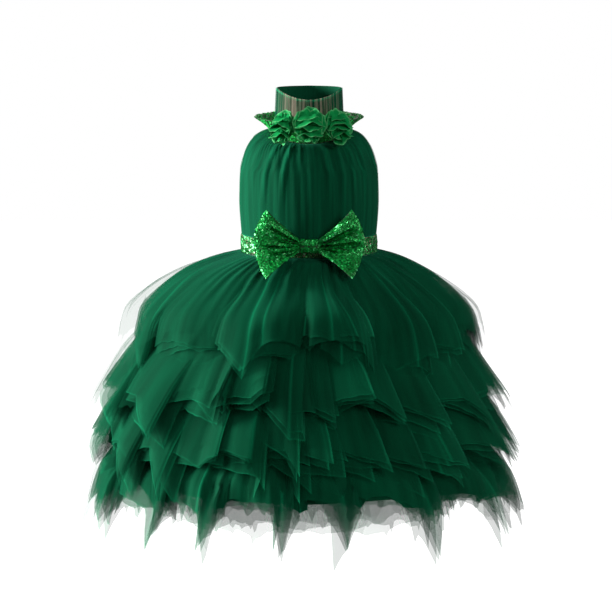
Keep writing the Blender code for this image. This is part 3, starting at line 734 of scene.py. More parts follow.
def bow_form(side):
    """One loop of the bow: a strip that leaves the knot in front, folds over and returns behind."""

    def form(across, down):
        outwards = 1.0 - np.abs(1.0 - 2.0 * across)
        outwards = outwards**1.1 * (1.0 + 0.13 * np.sin(np.pi * outwards))
        spread = np.maximum(0.0, (outwards - BOW_PINCH) / (1.0 - BOW_PINCH))
        front = np.where(across < 0.5, 1.0, -1.0)
        tall = spread * (1.0 - BOW_CORNER_DROP * spread**9)
        top = BOW_ROOT + (BOW_TOP - BOW_ROOT) * tall
        bottom = -BOW_ROOT - (BOW_BOTTOM - BOW_ROOT) * tall
        height = KNOT_CENTRE[2] + top + (bottom - top) * down
        curve = BOW_SIDE_CURVE * (np.sin(np.pi * down) - 0.6) * spread**3
        curve = curve - BOW_CORNER * np.abs(2.0 * down - 1.0) ** 9 * spread**8
        along = BOW_START + (BOW_REACH - BOW_START) * outwards + curve
        gap = BOW_GAP + BOW_GAP * np.sin(np.pi * spread**1.4)
        gap = gap * np.sqrt(np.maximum(1.0 - spread**8, 0.0))
        fold = BOW_FOLD * np.sin(np.pi * spread**0.6) * np.cos(np.pi * 5.0 * down + 0.4 * side)
        fold = fold + bow_creases(side, spread, down)
        below = np.maximum(0.0, BOW_REST_TOP - height)
        press = BOW_REST_SLOPE * (np.hypot(below, 0.005) - 0.005) * smooth_step(spread / 0.25)
        depth = KNOT_CENTRE[1] - 0.0025 * spread - front * gap + fold - press
        return np.stack((side * along, depth, height), axis=-1)

    return form


def knot_form(across, down):
    turn = across * 2.0 * np.pi
    upward = np.copysign(np.abs(np.sin(turn)) ** KNOT_SQUARENESS, np.sin(turn)) * KNOT_HEIGHT / 2
    forward = np.copysign(np.abs(np.cos(turn)) ** KNOT_SQUARENESS, np.cos(turn)) * KNOT_DEPTH / 2
    pleat = KNOT_PLEAT * np.cos(np.pi * 6.0 * down)
    flare = 1.0 + 0.10 * np.abs(2.0 * down - 1.0)
    sideways = (down - 0.5) * KNOT_WIDTH
    x, y, z = KNOT_CENTRE
    return np.stack((x + sideways, y - forward - pleat * np.cos(turn), z + upward * flare), axis=-1)


# Cloth in the scene

def placed(name, data):
    """A new object, linked to the scene."""
    item = bpy.data.objects.new(name, data)
    bpy.context.scene.collection.objects.link(item)
    return item


def mesh_from(name, shape):
    """A new mesh from a bmesh, which is freed."""
    mesh = bpy.data.meshes.new(name)
    shape.to_mesh(mesh)
    shape.free()
    return mesh


def finish_mesh(name, shape, material, smooth=True):
    """A new object from a bmesh, in one material."""
    mesh = mesh_from(name, shape)
    if smooth:
        mesh.shade_smooth()
    mesh.materials.append(material)
    return placed(name, mesh)


def laid_cloth(name, form, grid, finish, ring, edge):
    """A sheet on form(across, down), with its cut in a UV map, and in an attribute the mask of the painted
    highlight on its folded edges.
    """
    columns, rows = grid
    sheet = bmesh.new()
    sheet.loops.layers.uv.new("cut")
    fold = sheet.verts.layers.float.new("fold")
    bmesh.ops.create_grid(sheet, x_segments=columns, y_segments=rows, size=0.5, calc_uvs=True)
    flat = np.array([vertex.co for vertex in sheet.verts])
    across, down = np.clip(flat[:, 0] + 0.5, 0.0, 1.0), 1.0 - np.clip(0.5 + flat[:, 1], 0.0, 1.0)
    folded = edge(across, down) if edge else np.zeros_like(across)
    for vertex, point, value in zip(sheet.verts, form(across, down), folded):
        vertex.co = point
        vertex[fold] = value
    if ring:
        bmesh.ops.remove_doubles(sheet, verts=sheet.verts, dist=1e-6)
    return finish_mesh(name, sheet, made(finish))


def thicken(item, thickness, inside=None):
    """Gives the cloth its wall, with another material on its inner face if one is named."""
    wall = item.modifiers.new("wall", "SOLIDIFY")
    wall.thickness = thickness
    wall.offset = 0.0
    if inside:
        item.data.materials.append(inside)
        wall.material_offset = 1


def hanging_length(form):
    """The mean length of a sheet from its seam to its hem, along the cloth."""
    across, down = np.meshgrid(np.linspace(0.0, 1.0, 180), np.linspace(0.0, 1.0, 60))
    steps = np.diff(form(across, down), axis=0)
    return round(float(np.linalg.norm(steps, axis=2).sum(axis=0).mean()), 3)


def declare(item, nodes):
    """Attaches a cloth piece to the dress, and hides the imported parts that it stands in for."""
    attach(item, BODY)
    if nodes:
        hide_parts(*nodes)


def add_cloth(
    name, form, grid, finish, length, rests_on,
    nodes=(), slot="tulle", held="gathered", ring=False, edge=None,
):
    """A sheet laid on its form, in its finish, and attached to the dress."""
    item = laid_cloth(name, form, grid, finish, ring, edge)
    declare(item, nodes)
    return item


def sequin_unit():
    """One cupped sequin, of radius 1, facing +Z."""
    shape = bmesh.new()
    bmesh.ops.create_circle(shape, cap_ends=True, cap_tris=True, radius=1.0, segments=7)
    middle = min(shape.verts, key=lambda vertex: vertex.co.length)
    middle.co.z = -SEQUIN_CUP
    return mesh_from("sequin", shape)


def sequins_on(name, form, grid, finish, seed, tilt=0.26, keep=1.0):
    """Sequins in staggered rows over a form, each tipped a little its own way, joined into one piece."""
    columns, rows = grid
    radius = bpy.context.scene.dress_cloth.sequin_radius
    chance = np.random.default_rng(seed)
    across, down = np.meshgrid((np.arange(columns) + 0.5) / columns, (np.arange(rows) + 0.5) / rows)
    across = across + (np.arange(rows) % 2)[:, None] * 0.5 / columns
    across = (across + chance.uniform(-0.15, 0.15, across.shape) / columns).ravel()
    down = (down + chance.uniform(-0.12, 0.12, down.shape) / rows).ravel()
    chosen = (across < 1.0) & (chance.random(across.shape) < keep)
    across, down = across[chosen], np.clip(down[chosen], 0.0, 1.0)
    small = 0.002
    centre = form(across, down)
    right = form(np.clip(across + small, 0, 1), down) - form(np.clip(across - small, 0, 1), down)
    below = form(across, np.clip(down + small, 0, 1)) - form(across, np.clip(down - small, 0, 1))
    normal = np.cross(below, right)
    normal /= np.linalg.norm(normal, axis=1, keepdims=True) + 1e-12
    normal = normal + tilt * chance.normal(size=normal.shape)
    normal /= np.linalg.norm(normal, axis=1, keepdims=True)
    side = np.cross(normal, chance.normal(size=normal.shape))
    side /= np.linalg.norm(side, axis=1, keepdims=True)
    other = np.cross(normal, side)

    # An array repeats the sequin's faces, and each copy's corners then go to their own place
    unit = sequin_unit()
    corners = np.array([vertex.co for vertex in unit.vertices])
    size = radius * chance.uniform(*SEQUIN_SIZES, len(centre))[:, None, None]
    axes = np.stack((side, other, normal), axis=1)
    points = (corners[None] @ axes) * size + (centre + normal * SEQUIN_LIFT)[:, None]
    one = placed(name + "_one", unit)
    copies = one.modifiers.new("copies", "ARRAY")
    copies.count = len(centre)
    copies.use_relative_offset = False
    mesh = bpy.data.meshes.new_from_object(one.evaluated_get(bpy.context.evaluated_depsgraph_get()))
    bpy.data.objects.remove(one)
    mesh.vertices.foreach_set("co", points.ravel())
    shade = mesh.attributes.new("shade", "FLOAT", "POINT")
    shade.data.foreach_set("value", np.repeat(chance.random(len(centre)), len(corners)))
    mesh.update()
    mesh.materials.append(made(finish))
    item = placed(name, mesh)
    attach(item, BODY)
    return item


# Materials

NET_DEFAULTS = ("tulle", 1.0, 0.18, 2.4, 0.58, 150.0, 0.012)
Net = namedtuple("Net", "alpha colour shade sheen hem_glow streaks fine edge", defaults=NET_DEFAULTS)
NETS = {  # the edge highlight is how much paler a cut edge and a fold's outer edge are painted, a painted highlight that is partly for the two layers of net there, and the edge is its share of the cloth's length; a shade below 1 is painted shade
    "net": Net(0.46),
    "thin_net": Net(0.50),
    # The dense plies and the bodice lining are the tulle's colour painted darker: painted shade beneath the
    # net over them.
    "dense": Net(1.0, shade=0.70, sheen=0.14),
    "veil": Net(0.15, sheen=0.1, hem_glow=1.0),
    "petticoat": Net(0.43, colour="petticoat", sheen=0.0, hem_glow=1.0),
    "bodice_net": Net(0.70, streaks=0.5, fine=60.0),
    "collar_net": Net(0.40, hem_glow=5.0, streaks=0.7, edge=0.05),
}
FOILS = {  # a colour of the panel, and how much lighter the foil is painted: lit and shaded copies of one colour, lighter on the neck band as painted light and darker on the waist band as painted shade
    "sequin_foil": ("sequin", 1.0),
    "bright_foil": ("sequin_bright", 1.5),
    "belt_foil": ("sequin_bright", 0.60),
}
# Places on the ramp and gains of the foil's colour; the highest gains are painted glints
FOIL_TONES_AND_GLINTS = ((0.25, 0.60), (0.60, 1.0), (0.86, 1.4), (0.95, 2.0))
THREADS = 900.0  # the texture scale of the net's threads and the satin's yarns
BACKING_THREADS = 700.0
# The green backing is painted very dark: partly its own green, partly painted shade between the sequins. The
# pale one is partly its own silvery colour, partly painted light on the band's inside, which lies in shade.
BACKINGS = {"green_backing": (0.001, 0.050, 0.010), "pale_backing": (0.64, 0.72, 0.59)}


class Finish:
    """A material in the making: its shader, and short ways to add the nodes that feed it."""

    def __init__(self, name):
        self.material = bpy.data.materials.new(name)
        self.material.use_nodes = True
        self.tree = self.material.node_tree
        self.shader = self.tree.nodes["Principled BSDF"]

    def feed(self, node, inputs):
        """Gives each input of a node its constant, or the output of another node."""
        for name, value in inputs.items():
            if isinstance(value, bpy.types.NodeSocket):
                self.tree.links.new(value, node.inputs[name])
            else:
                node.inputs[name].default_value = value

    def add(self, kind, inputs, **settings):
        node = self.tree.nodes.new("ShaderNode" + kind)
        for key, value in settings.items():
            setattr(node, key, value)
        self.feed(node, inputs)
        return node

    def on_object(self):
        return self.add("TexCoord", {}).outputs["Object"]

    def on_cut(self):
        """Places on the cloth before it was hung, from its UV map."""
        return self.add("UVMap", {}, uv_map="cut").outputs["UV"]

    def apart(self, vector, axis):
        return self.add("SeparateXYZ", {"Vector": vector}).outputs[axis]

    def between(self, value, low, high, start=0.0, end=1.0):
        """Low where the value is at its start, high where it is at its end."""
        limits = {"From Min": start, "From Max": end, "To Min": low, "To Max": high}
        return self.add("MapRange", {"Value": value, **limits}).outputs["Result"]

    def noise(self, place, scale, detail=2.0):
        return self.add("TexNoise", {"Vector": place, "Scale": scale, "Detail": detail}).outputs["Fac"]

    def streaks(self, place, across, down, detail):
        """Noise drawn out along the cloth."""
        drawn = self.add("Mapping", {"Vector": place, "Scale": (across, down, 1.0)})
        return self.noise(drawn.outputs["Vector"], 1.0, detail)

    def cells(self, place, scale):
        """The holes of a net, from 0 on its threads."""
        cells = self.add("TexVoronoi", {"Vector": place, "Scale": scale}, feature="DISTANCE_TO_EDGE")
        return cells.outputs["Distance"]

    def math(self, operation, *values):
        return self.add("Math", dict(enumerate(values)), operation=operation).outputs["Value"]

    def shaded(self, colour, strength):
        return self.add("VectorMath", {0: colour, "Scale": strength}, operation="SCALE").outputs["Vector"]

    def mixed(self, share, first, second):
        mix = self.add("Mix", {"Factor": share, "A": first, "B": second}, data_type="RGBA")
        return mix.outputs["Result"]

    def bump(self, height, strength, distance):
        inputs = {"Height": height, "Strength": strength, "Distance": distance}
        return self.add("Bump", inputs).outputs["Normal"]

    def done(self, inputs):
        """The material, once its shader has its inputs."""
        self.feed(self.shader, inputs)
        return self.material


def dyed(colour, shade=1.0):
    """A colour of the panel, darker or lighter."""
    return tuple(shade * part for part in getattr(bpy.context.scene.dress_colours, colour))


def net_material(name):
    """Fine polyester net: fine and broad streaks along the cloth, a soft bloom, and a painted highlight along
    its cut edge and the outer edges of its folds, partly for the two layers of net there.
    """
    net = NETS[name]
    finish = Finish(name)
    cut = finish.on_cut()
    both = finish.math("ADD", finish.streaks(cut, net.fine, 1.5, 3.0), finish.streaks(cut, 34.0, 1.6, 2.0))
    uneven = finish.between(both, 1.0 - net.streaks, 1.0 + net.streaks, 0.6, 1.4)
    # The cut edge and the outer edges of folds are painted paler: a painted highlight, partly for the two
    # layers of net there.
    hem = finish.between(finish.apart(cut, "Y"), 1.0, net.hem_glow, net.edge, 0.2 * net.edge)
    folded = finish.add("Attribute", {}, attribute_name="fold").outputs["Fac"]
    fold = finish.between(folded, 0.0, net.hem_glow - 1.0, 0.3)
    gain = finish.math("MULTIPLY", uneven, finish.math("ADD", hem, fold))
    threads = finish.cells(finish.on_object(), THREADS)
    return finish.done({
        "Base Color": finish.shaded(dyed(net.colour, net.shade), gain),
        "Roughness": 0.85,
        "Specular IOR Level": 0.05,
        "Sheen Weight": net.sheen,
        "Sheen Roughness": 0.5,
        "Sheen Tint": (0.06, 0.55, 0.33, 1.0),
        "Alpha": net.alpha,
        "Normal": finish.bump(threads, 0.04, 0.0003),
    })


def satin_material(name):
    """Smooth satin: a low directional sheen, fine yarns and slightly uneven dye."""
    finish = Finish(name)
    place = finish.on_object()
    dye = finish.between(finish.noise(place, 18.0), 0.75, 1.25)
    yarn = finish.add("TexWave", {"Vector": place, "Scale": THREADS, "Distortion": 1.5}, bands_direction="Z")
    return finish.done({
        "Base Color": finish.shaded(dyed("satin"), dye),
        "Roughness": 0.42,
        "Specular IOR Level": 0.35,
        "Sheen Weight": 0.25,
        "Sheen Tint": (0.2, 0.7, 0.45, 1.0),
        "Normal": finish.bump(yarn.outputs["Fac"], 0.06, 0.0002),
    })


def foil_material(name):
    """Foil sequins: each one its own shade of green at random, from dark to pale green-white, partly random
    tone and partly painted glints on the palest ones, and a little rougher the paler it is.
    """
    finish = Finish(name)
    colour = dyed(*FOILS[name])
    shade = finish.add("Attribute", {}, attribute_name="shade").outputs["Fac"]
    ramp = finish.add("ValToRGB", {"Fac": shade})
    ramp.color_ramp.elements[0].color = (*(0.30 * part for part in colour), 1.0)
    # The palest sequins, pale green-white, are painted glints.
    ramp.color_ramp.elements[1].color = (0.20, 0.90, 0.40, 1.0)
    for place, gain in FOIL_TONES_AND_GLINTS:
        step = ramp.color_ramp.elements.new(place)
        step.color = (*(gain * part for part in colour), 1.0)
    return finish.done({
        "Base Color": ramp.outputs["Color"],
        "Roughness": finish.between(shade, 0.26, 0.38),
        "Metallic": 0.35,
        "Specular IOR Level": 0.4,
    })


def backing_material(name):
    """The net that carries the sequins."""
    finish = Finish(name)
    threads = finish.between(finish.cells(finish.on_object(), BACKING_THREADS), 1.1, 0.6, 0.0, 0.25)
    colour = BACKINGS.get(name) or dyed("nude")
    return finish.done({"Base Color": finish.shaded(colour, threads), "Roughness": 0.7})


def petal_material(name):
    """Thin chiffon, bright in the light, paler along its cut edge."""
    finish = Finish(name)
    rim = finish.between(finish.apart(finish.on_cut(), "Y"), 0.0, 1.0, 0.11, 0.01)
    dye = finish.between(finish.noise(finish.on_object(), 90.0), 0.6, 1.4)
    colour = finish.mixed(rim, finish.shaded(dyed("petal"), dye), (*dyed("petal_edge"), 1.0))
    return finish.done({"Base Color": colour, "Roughness": 0.9, "Specular IOR Level": 0.05})


def collar_lining_material(name):
    """Nude net at the front of the collar, seen through the gathers, and green behind, painted darker than
    the tulle as shade.
    """
    finish = Finish(name)
    cut = finish.on_cut()
    away = finish.math("ABSOLUTE", finish.math("SUBTRACT", finish.apart(cut, "X"), 0.5))
    front = finish.between(away, 0.0, 1.0, 0.21, 0.04)
    bars = finish.between(finish.streaks(cut, 85.0, 0.7, 3.0), 0.0, 1.0, 0.38, 0.62)
    nude = finish.math("MULTIPLY", front, bars)
    # The green is the tulle's colour painted darker: painted shade on the inside of the collar.
    colour = finish.mixed(nude, (*dyed("tulle", 0.8), 1.0), (*dyed("nude"), 1.0))
    return finish.done({"Base Color": colour, "Roughness": 0.9, "Specular IOR Level": 0.1})


def resin_material(name):
    """Dyed resin with faint polishing marks."""
    finish = Finish(name)
    marks = finish.between(finish.noise(finish.on_object(), 400.0), 0.25, 0.45)
    return finish.done({"Base Color": (*dyed("resin"), 1.0), "Roughness": marks})


MAKERS = {
    **dict.fromkeys(NETS, net_material),
    **dict.fromkeys(FOILS, foil_material),
    **dict.fromkeys((*BACKINGS, "nude_backing"), backing_material),
    "smooth_satin": satin_material,
    "petal_chiffon": petal_material,
    "collar_lining": collar_lining_material,
    "resin": resin_material,
}


def made(name):
    """A material by its name, made once from the colours in the panel."""
    if name in bpy.data.materials:
        return bpy.data.materials[name]
    return MAKERS[name](name)


# Petals

Flower = namedtuple("Flower", "node angle width height lift stand turn")
FLOWERS = (
    Flower("flower_left", -28.0, 0.0350, 0.0470, -0.0030, 0.0060, 0.3),
    Flower("flower_centre", 0.5, 0.0405, 0.0510, 0.0000, 0.0090, 1.5),
    Flower("flower_right", 29.5, 0.0380, 0.0465, -0.0020, 0.0060, 2.4),
)
PetalRing = namedtuple("PetalRing", "petals reach out cup spin")
PETAL_RINGS = (  # reach as a share of the rosette's half size; out and cup in metres
    PetalRing(5, 1.10, 0.0000, -0.0006, 0.0),
    PetalRing(5, 0.98, 0.0024, 0.0026, 0.6),
)
Frill = namedtuple("Frill", "rim reach wide beat bow")
FRILLS = (  # rim and wide as shares of the rosette's half size; reach and bow in metres
    Frill(0.20, 0.0105, 0.72, 2.4, 0.0030),
    Frill(-0.06, 0.0130, 0.98, 3.1, -0.0022),
    Frill(-0.34, 0.0125, 0.92, 3.8, 0.0026),
    Frill(-0.60, 0.0105, 0.86, 3.3, -0.0020),
    Frill(-0.86, 0.0070, 0.50, 4.2, 0.0010),
)
FRILL_FALL = 0.78  # how far a frill's rim drops for each metre that it stands out
FLOWER_TILT = 0.32  # how steeply a rosette looks up
FLOWER_SEAT = 0.004  # how far above a rosette's middle the band carries it
PETAL_ROOT = 0.0030
PETAL_COLUMNS = 40
PETAL_ROWS = 9


def flower_frame(flower):
    """Centre and axes of a rosette: sideways, upward and outward."""
    turn = math.radians(flower.angle)
    outward = Vector((math.sin(turn), -math.cos(turn), FLOWER_TILT)).normalized()
    sideways = Vector((math.cos(turn), math.sin(turn), 0.0))
    upward = -sideways.cross(outward)
    around = 0.5 + flower.angle / (2.0 * (180.0 - BAND_OPENING))
    one = np.array([around])
    rim, foot = band_form(one, np.array([0.0]))[0][2], band_form(one, np.array([1.0]))[0][2]
    share = max(0.0, rim - flower.lift - FLOWER_SEAT) / (rim - foot)
    seat = Vector(band_form(one, np.array([share]))[0])
    centre = seat + outward * (flower.stand + SEQUIN_CLOTH / 2 + 3.0 * SEAM_GAP)
    centre.z = flower.lift
    return centre, sideways, upward, outward


def petal_middle(flower, ring, index):
    """The direction that a petal grows in: 0 sideways, a quarter turn upwards."""
    stray = random.Random(int(flower.turn * 10) * 100 + ring.petals * 10 + index).uniform(-0.12, 0.12)
    return 2.0 * math.pi * (index + stray) / ring.petals + ring.spin + flower.turn


def petal_points(flower, ring, index, wave, flat):
    """Points of one petal on its flat grid: gathered at the root, cupped and ruffled at the rim."""
    chance = random.Random(int(flower.turn * 10) * 100 + ring.petals * 10 + index + 50)
    out, side = 0.5 - flat[:, 1], flat[:, 0] * 2.0
    half = math.pi / ring.petals * chance.uniform(1.15, 1.45)
    middle = petal_middle(flower, ring, index)
    angle = middle + side * half * (0.75 + 0.25 * out)
    rim = 1.0 - 0.26 * np.abs(side) ** 3.0 + 0.03 * np.sin(9.0 * side + index)
    reach = ring.reach * chance.uniform(0.88, 1.06) * rim
    wide = PETAL_ROOT + (reach * flower.width / 2 - PETAL_ROOT) * out
    tall = PETAL_ROOT + (reach * flower.height / 2 - PETAL_ROOT) * out
    beat, first, second = chance.uniform(4.0, 6.5), chance.uniform(0.0, 6.0), chance.uniform(0.0, 6.0)
    ruffle = np.sin(side * beat + first) + 0.22 * np.sin(side * 2.4 * beat + second)
    ruffle = 0.7 * wave * min(ring.reach, 1.0) * out**1.4 * ruffle * (1.0 - 0.55 * math.sin(middle))
    depth = ring.out + ring.cup * out**2 * chance.uniform(0.6, 1.2) + ruffle + 0.0008 * (index % 2)
    depth = depth - 0.0012 * np.abs(side) ** 2 * out - 0.0034 * math.sin(middle) * out * min(ring.reach, 1.0)
    return np.stack((wide * np.cos(angle), tall * np.sin(angle), depth), axis=-1)


def frill_points(flower, frill, number, wave, flat):
    """Points of one petal that lies across the rosette and droops towards a ruffled rim."""
    chance = random.Random(int(flower.turn * 10) * 100 + 70 + number)
    out, side = 0.5 - flat[:, 1], flat[:, 0] * 2.0
    first, second, shift = chance.uniform(0.0, 6.0), chance.uniform(0.0, 6.0), chance.uniform(-0.16, 0.16)
    ruffle = np.sin(frill.beat * side + first) + 0.40 * np.sin(2.3 * frill.beat * side + second)
    wide = (shift * out + side * frill.wide * (0.45 + 0.55 * out)) * flower.width / 2
    fall = FRILL_FALL * frill.reach * (1.0 - out**1.3)
    tall = frill.rim * flower.height / 2 + fall + wave * out**1.5 * ruffle + frill.bow * side**2
    depth = 0.0030 + frill.reach * out * (1.0 - 0.35 * side**2)
    depth = depth + 0.5 * wave * out**2 * np.cos(1.7 * frill.beat * side + second)
    return np.stack((wide, tall, depth), axis=-1)


def build_flower(flower, wave, material):
    centre, sideways, upward, outward = flower_frame(flower)
    axes = np.array((sideways, upward, outward))
    shape = bmesh.new()
    shape.loops.layers.uv.new("cut")
    petals = [(petal_points, ring, index) for ring in PETAL_RINGS for index in range(ring.petals)]
    petals += [(frill_points, frill, number) for number, frill in enumerate(FRILLS)]
    for points_of, row, number in petals:
        grid = {"x_segments": PETAL_COLUMNS, "y_segments": PETAL_ROWS, "size": 0.5, "calc_uvs": True}
        vertices = bmesh.ops.create_grid(shape, **grid)["verts"]
        flat = np.array([vertex.co for vertex in vertices])
        points = points_of(flower, row, number, wave, flat) @ axes + np.array(centre)
        for vertex, point in zip(vertices, points):
            vertex.co = point
    return finish_mesh(flower.node + "_petals", shape, material)


# Operators

class DRESS_OT_collar(bpy.types.Operator):
    """Gathered stand-up collar of net over its lining"""

    bl_idname = "dress.collar"
    bl_label = "Collar"

    def execute(self, context):
        lining = collar_form(-0.0010, -0.0005, 0.00015)
        add_cloth("collar_lining", lining, (300, 6), "collar_lining", COLLAR_LENGTH, ["collar_net"])
        net = turned(collar_form(0.0003))
        add_cloth("collar_net", net, (800, 8), "collar_net", COLLAR_LENGTH, ["neck_band"], ["collar"])
        return {"FINISHED"}


class DRESS_OT_neck_band(bpy.types.Operator):
    """Flared neck band of sequin cloth"""

    bl_idname = "dress.neck_band"
    bl_label = "Neck band"

    def execute(self, context):
        cloth = {"nodes": ["neck_sequin_band"], "slot": "sequins"}
        rests = ["collar_net"]
        band = add_cloth("neck_band", band_form, (160, 8), "green_backing", BAND_LENGTH, rests, **cloth)
        thicken(band, BAND_WALL, made("pale_backing"))
        sequins_on("neck_band_sequins", band_form, (175, 14), "bright_foil", 61)
        inner = mirrored(band_form)
        sequins_on("neck_band_lining_glitter", inner, (165, 13), "bright_foil", 62, tilt=0.3, keep=0.65)
        return {"FINISHED"}


class DRESS_OT_flowers(bpy.types.Operator):
    """Three chiffon rosettes on the neck band"""

    bl_idname = "dress.flowers"
    bl_label = "Rosettes"

    def execute(self, context):
        for flower in FLOWERS:
            item = build_flower(flower, context.scene.dress_cloth.petal_wave, made("petal_chiffon"))
            declare(item, [flower.node])
        return {"FINISHED"}


class DRESS_OT_buttons(bpy.types.Operator):
    """Two small resin buttons on the lap of the collar"""

    bl_idname = "dress.buttons"
    bl_label = "Buttons"

    def execute(self, context):
        for number in (1, 2):
            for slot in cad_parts[f"collar_button_{number}"].material_slots:
                slot.material = made("resin")
        return {"FINISHED"}


class DRESS_OT_bodice(bpy.types.Operator):
    """Bodice front and back: gathered net over a lining"""

    bl_idname = "dress.bodice"
    bl_label = "Bodice"

    def execute(self, context):
        rests = ["waist_band_cloth"]
        lining = bodice_front_form(LINING_OUTWARD, 8)
        add_cloth("bodice_front_lining", lining, (260, 30), "dense", FRONT_LENGTH, rests)
        net = bodice_front_form(NET_OUTWARD, 3)
        cloth = {"nodes": ["bodice_front"], "edge": bodice_ridge_highlights}
        add_cloth("bodice_front_net", net, (540, 28), "bodice_net", FRONT_LENGTH, rests, **cloth)
        lining = bodice_back_form(LINING_OUTWARD, 9)
        add_cloth("bodice_back_lining", lining, (260, 16), "dense", BACK_LENGTH, rests)
        net = bodice_back_form(NET_OUTWARD, 4)
        add_cloth("bodice_back_net", net, (520, 18), "bodice_net", BACK_LENGTH, rests, ["bodice_back"])
        return {"FINISHED"}


class DRESS_OT_waist_band(bpy.types.Operator):
    """Waist band of sequin cloth"""

    bl_idname = "dress.waist_band"
    bl_label = "Waist band"

    def execute(self, context):
        cloth = {"nodes": ["waist_band"], "slot": "sequins", "held": "stretched", "ring": True}
        name, rests = "waist_band_cloth", ["bodice_front_net"]
        band = add_cloth(name, waist_form, (240, 8), "nude_backing", BELT_LENGTH, rests, **cloth)
        thicken(band, BAND_WALL)
        sequins_on("waist_band_sequins", waist_form, (230, 11), "belt_foil", 63)
        return {"FINISHED"}


class DRESS_OT_bow(bpy.types.Operator):
    """Sequin bow: two folded loops and a knot"""

    bl_idname = "dress.bow"
    bl_label = "Bow"

    def execute(self, context):
        backing = "green_backing"
        loops = ((-1, "bow_left_loop", mirrored(bow_form(-1))), (1, "bow_right_loop", bow_form(1)))
        for side, name, form in loops:
            cloth = {"nodes": [name], "slot": "sequins", "held": "folded"}
            rests = ["bow_knot_cloth"]
            loop = add_cloth(name + "_cloth", form, (101, 36), backing, LOOP_LENGTH, rests, **cloth)
            thicken(loop, BOW_WALL)
            sequins_on(name + "_sequins", form, (92, 50), "sequin_foil", 64 + side, tilt=0.20)
        cloth = {"nodes": ["bow_knot"], "slot": "sequins", "held": "folded", "ring": True}
        rests = ["waist_band_cloth"]
        knot = add_cloth("bow_knot_cloth", knot_form, (80, 8), backing, KNOT_LENGTH, rests, **cloth)
        thicken(knot, BOW_WALL)
        sequins_on("bow_knot_sequins", knot_form, (34, 12), "sequin_foil", 68, tilt=0.2)
        return {"FINISHED"}


class DRESS_OT_underskirt(bpy.types.Operator):
    """Plain satin underskirt, and the edge of the net petticoat below its hem"""

    bl_idname = "dress.underskirt"
    bl_label = "Underskirt"

    def execute(self, context):
        cloth = {"nodes": ["underskirt"], "slot": "satin", "ring": True}
        name, rests = "satin_underskirt", ["waist_band_cloth"]
        skirt = add_cloth(name, underskirt_form, (270, 24), "smooth_satin", SATIN_LENGTH, rests, **cloth)
        thicken(skirt, SATIN_WALL)
        for number, below, width in PETTICOATS:
            form = petticoat_form(below, width, 50 + 2 * number)
            length = PETTICOAT_OVERLAP + below
            add_cloth(f"net_petticoat_{number}", form, (420, 8), "petticoat", length, [name], ring=True)
        return {"FINISHED"}


class DRESS_OT_tiers(bpy.types.Operator):
    """Four tiers of gathered net with pointed corners, each of several plies"""

    bl_idname = "dress.tiers"
    bl_label = "Tulle tiers"

    def execute(self, context):
        cloth = context.scene.dress_cloth
        grid = (cloth.ply_columns, cloth.ply_rows)
        for ply in PLIES:
            form, edge = ply_form(ply, cloth)
            length = hanging_length(form)
            nodes = [f"tulle_tier_{ply.tier}"] if ply.name.endswith("outer") else []
            rests = ["waist_band_cloth"] if ply.tier == 1 else ["satin_underskirt"]
            add_cloth(ply.name, form, grid, ply.finish, length, rests, nodes, ring=True, edge=edge)
        return {"FINISHED"}


Softbox = namedtuple("Softbox", "name place size watts")
SOFTBOXES = (
    Softbox("key", (-3.0, 0.14, 0.35), 1.0, 292.0),
    Softbox("fill", (1.9, -2.4, 1.1), 1.2, 35.0),
    Softbox("side", (3.0, 0.5, 0.6), 1.2, 20.0),
    Softbox("top", (-0.4, -0.6, 2.2), 1.2, 5.0),
)
LIT_POINT = Vector((0.0, 0.0, -0.25))
FLOOR_SIZE = 6.0
FLOOR_HEIGHT = -0.82
FLOOR_GLOW = 0.98
WORLD_LIGHT = 0.13  # as the dress sees it; the camera sees white
CAMERA_TARGET = Vector((-0.004, 0.0, -0.248))
CAMERA_DISTANCE = 3.5
CAMERA_ELEVATION = 8.4  # degrees
CAMERA_LENS = 152.9  # millimetres, on a sensor 36 mm wide


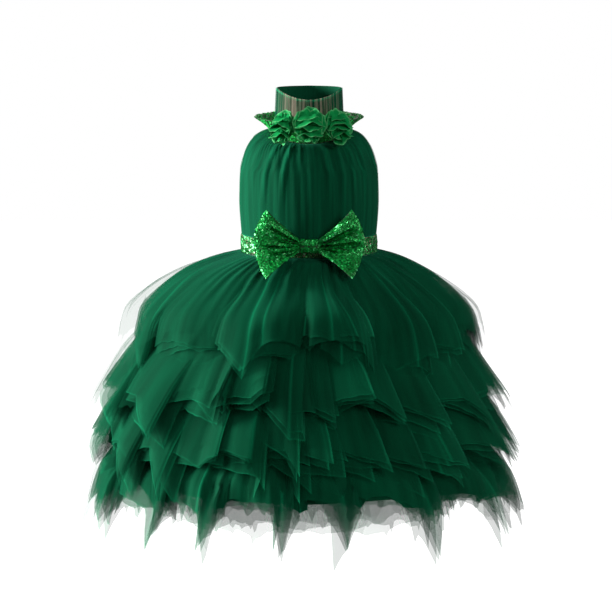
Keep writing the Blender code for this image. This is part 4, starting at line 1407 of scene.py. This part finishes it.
class DRESS_OT_stage(bpy.types.Operator):
    """Pale floor, soft studio light and the camera"""

    bl_idname = "dress.stage"
    bl_label = "Stage"

    def execute(self, context):
        scene = context.scene
        self.lay_floor()
        scene.world = self.studio_world()
        for box in SOFTBOXES:
            lamp = bpy.data.lights.new(box.name, "AREA")
            lamp.shape = "SQUARE"
            lamp.size = box.size
            lamp.energy = box.watts
            self.aim(box.name, lamp, Vector(box.place), LIT_POINT)
        lens = bpy.data.cameras.new("camera")
        lens.sensor_width = 36.0
        lens.lens = CAMERA_LENS
        elevation = math.radians(CAMERA_ELEVATION)
        back = Vector((0.0, -math.cos(elevation), math.sin(elevation)))
        scene.camera = self.aim("camera", lens, CAMERA_TARGET + CAMERA_DISTANCE * back, CAMERA_TARGET)
        scene.view_settings.view_transform = "Standard"
        scene.cycles.transparent_max_bounces = 24
        return {"FINISHED"}

    def lay_floor(self):
        floor = bmesh.new()
        bmesh.ops.create_grid(floor, x_segments=1, y_segments=1, size=FLOOR_SIZE)
        bmesh.ops.translate(floor, verts=floor.verts, vec=(0.0, 0.0, FLOOR_HEIGHT))
        material = Finish("pale_floor").done({
            "Base Color": (0.5, 0.5, 0.5, 1.0),
            "Emission Color": (1.0, 1.0, 1.0, 1.0),
            "Emission Strength": FLOOR_GLOW,
        })
        ground = finish_mesh("floor", floor, material, smooth=False)
        ground.visible_diffuse = False
        ground.visible_glossy = False

    def studio_world(self):
        world = bpy.data.worlds.new("studio")
        world.use_nodes = True
        nodes, links = world.node_tree.nodes, world.node_tree.links
        nodes["Background"].inputs["Color"].default_value = (1.0, 1.0, 1.0, 1.0)
        path = nodes.new("ShaderNodeLightPath")
        level = nodes.new("ShaderNodeMapRange")
        level.inputs["To Min"].default_value = WORLD_LIGHT
        level.inputs["To Max"].default_value = 1.0
        links.new(path.outputs["Is Camera Ray"], level.inputs["Value"])
        links.new(level.outputs["Result"], nodes["Background"].inputs["Strength"])
        return world

    def aim(self, name, data, place, point):
        item = placed(name, data)
        item.location = place
        item.rotation_euler = (point - place).to_track_quat("-Z", "Y").to_euler()
        return item


STEPS = (
    DRESS_OT_collar,
    DRESS_OT_neck_band,
    DRESS_OT_flowers,
    DRESS_OT_buttons,
    DRESS_OT_bodice,
    DRESS_OT_waist_band,
    DRESS_OT_bow,
    DRESS_OT_underskirt,
    DRESS_OT_tiers,
    DRESS_OT_stage,
)


class DRESS_PT_panel(bpy.types.Panel):
    """Lists the steps that dress the frame, with their sizes and colours"""

    bl_idname = "DRESS_PT_panel"
    bl_label = "Tulle Party Dress"
    bl_space_type = "VIEW_3D"
    bl_region_type = "UI"
    bl_category = "Dress"

    def draw(self, context):
        for group in (context.scene.dress_cloth, context.scene.dress_colours):
            for name in group.bl_rna.properties.keys():
                if name not in ("rna_type", "name"):
                    self.layout.prop(group, name)
        for step in STEPS:
            self.layout.operator(step.bl_idname)


CLASSES = (DressCloth, DressColours, *STEPS, DRESS_PT_panel)


def register():
    for item in CLASSES:
        bpy.utils.register_class(item)
    bpy.types.Scene.dress_cloth = PointerProperty(type=DressCloth)
    bpy.types.Scene.dress_colours = PointerProperty(type=DressColours)


def unregister():
    del bpy.types.Scene.dress_colours
    del bpy.types.Scene.dress_cloth
    for item in reversed(CLASSES):
        bpy.utils.unregister_class(item)


def main():
    register()
    for step in STEPS:
        group, name = step.bl_idname.split(".")
        getattr(getattr(bpy.ops, group), name)()


if __name__ == "__main__":
    main()
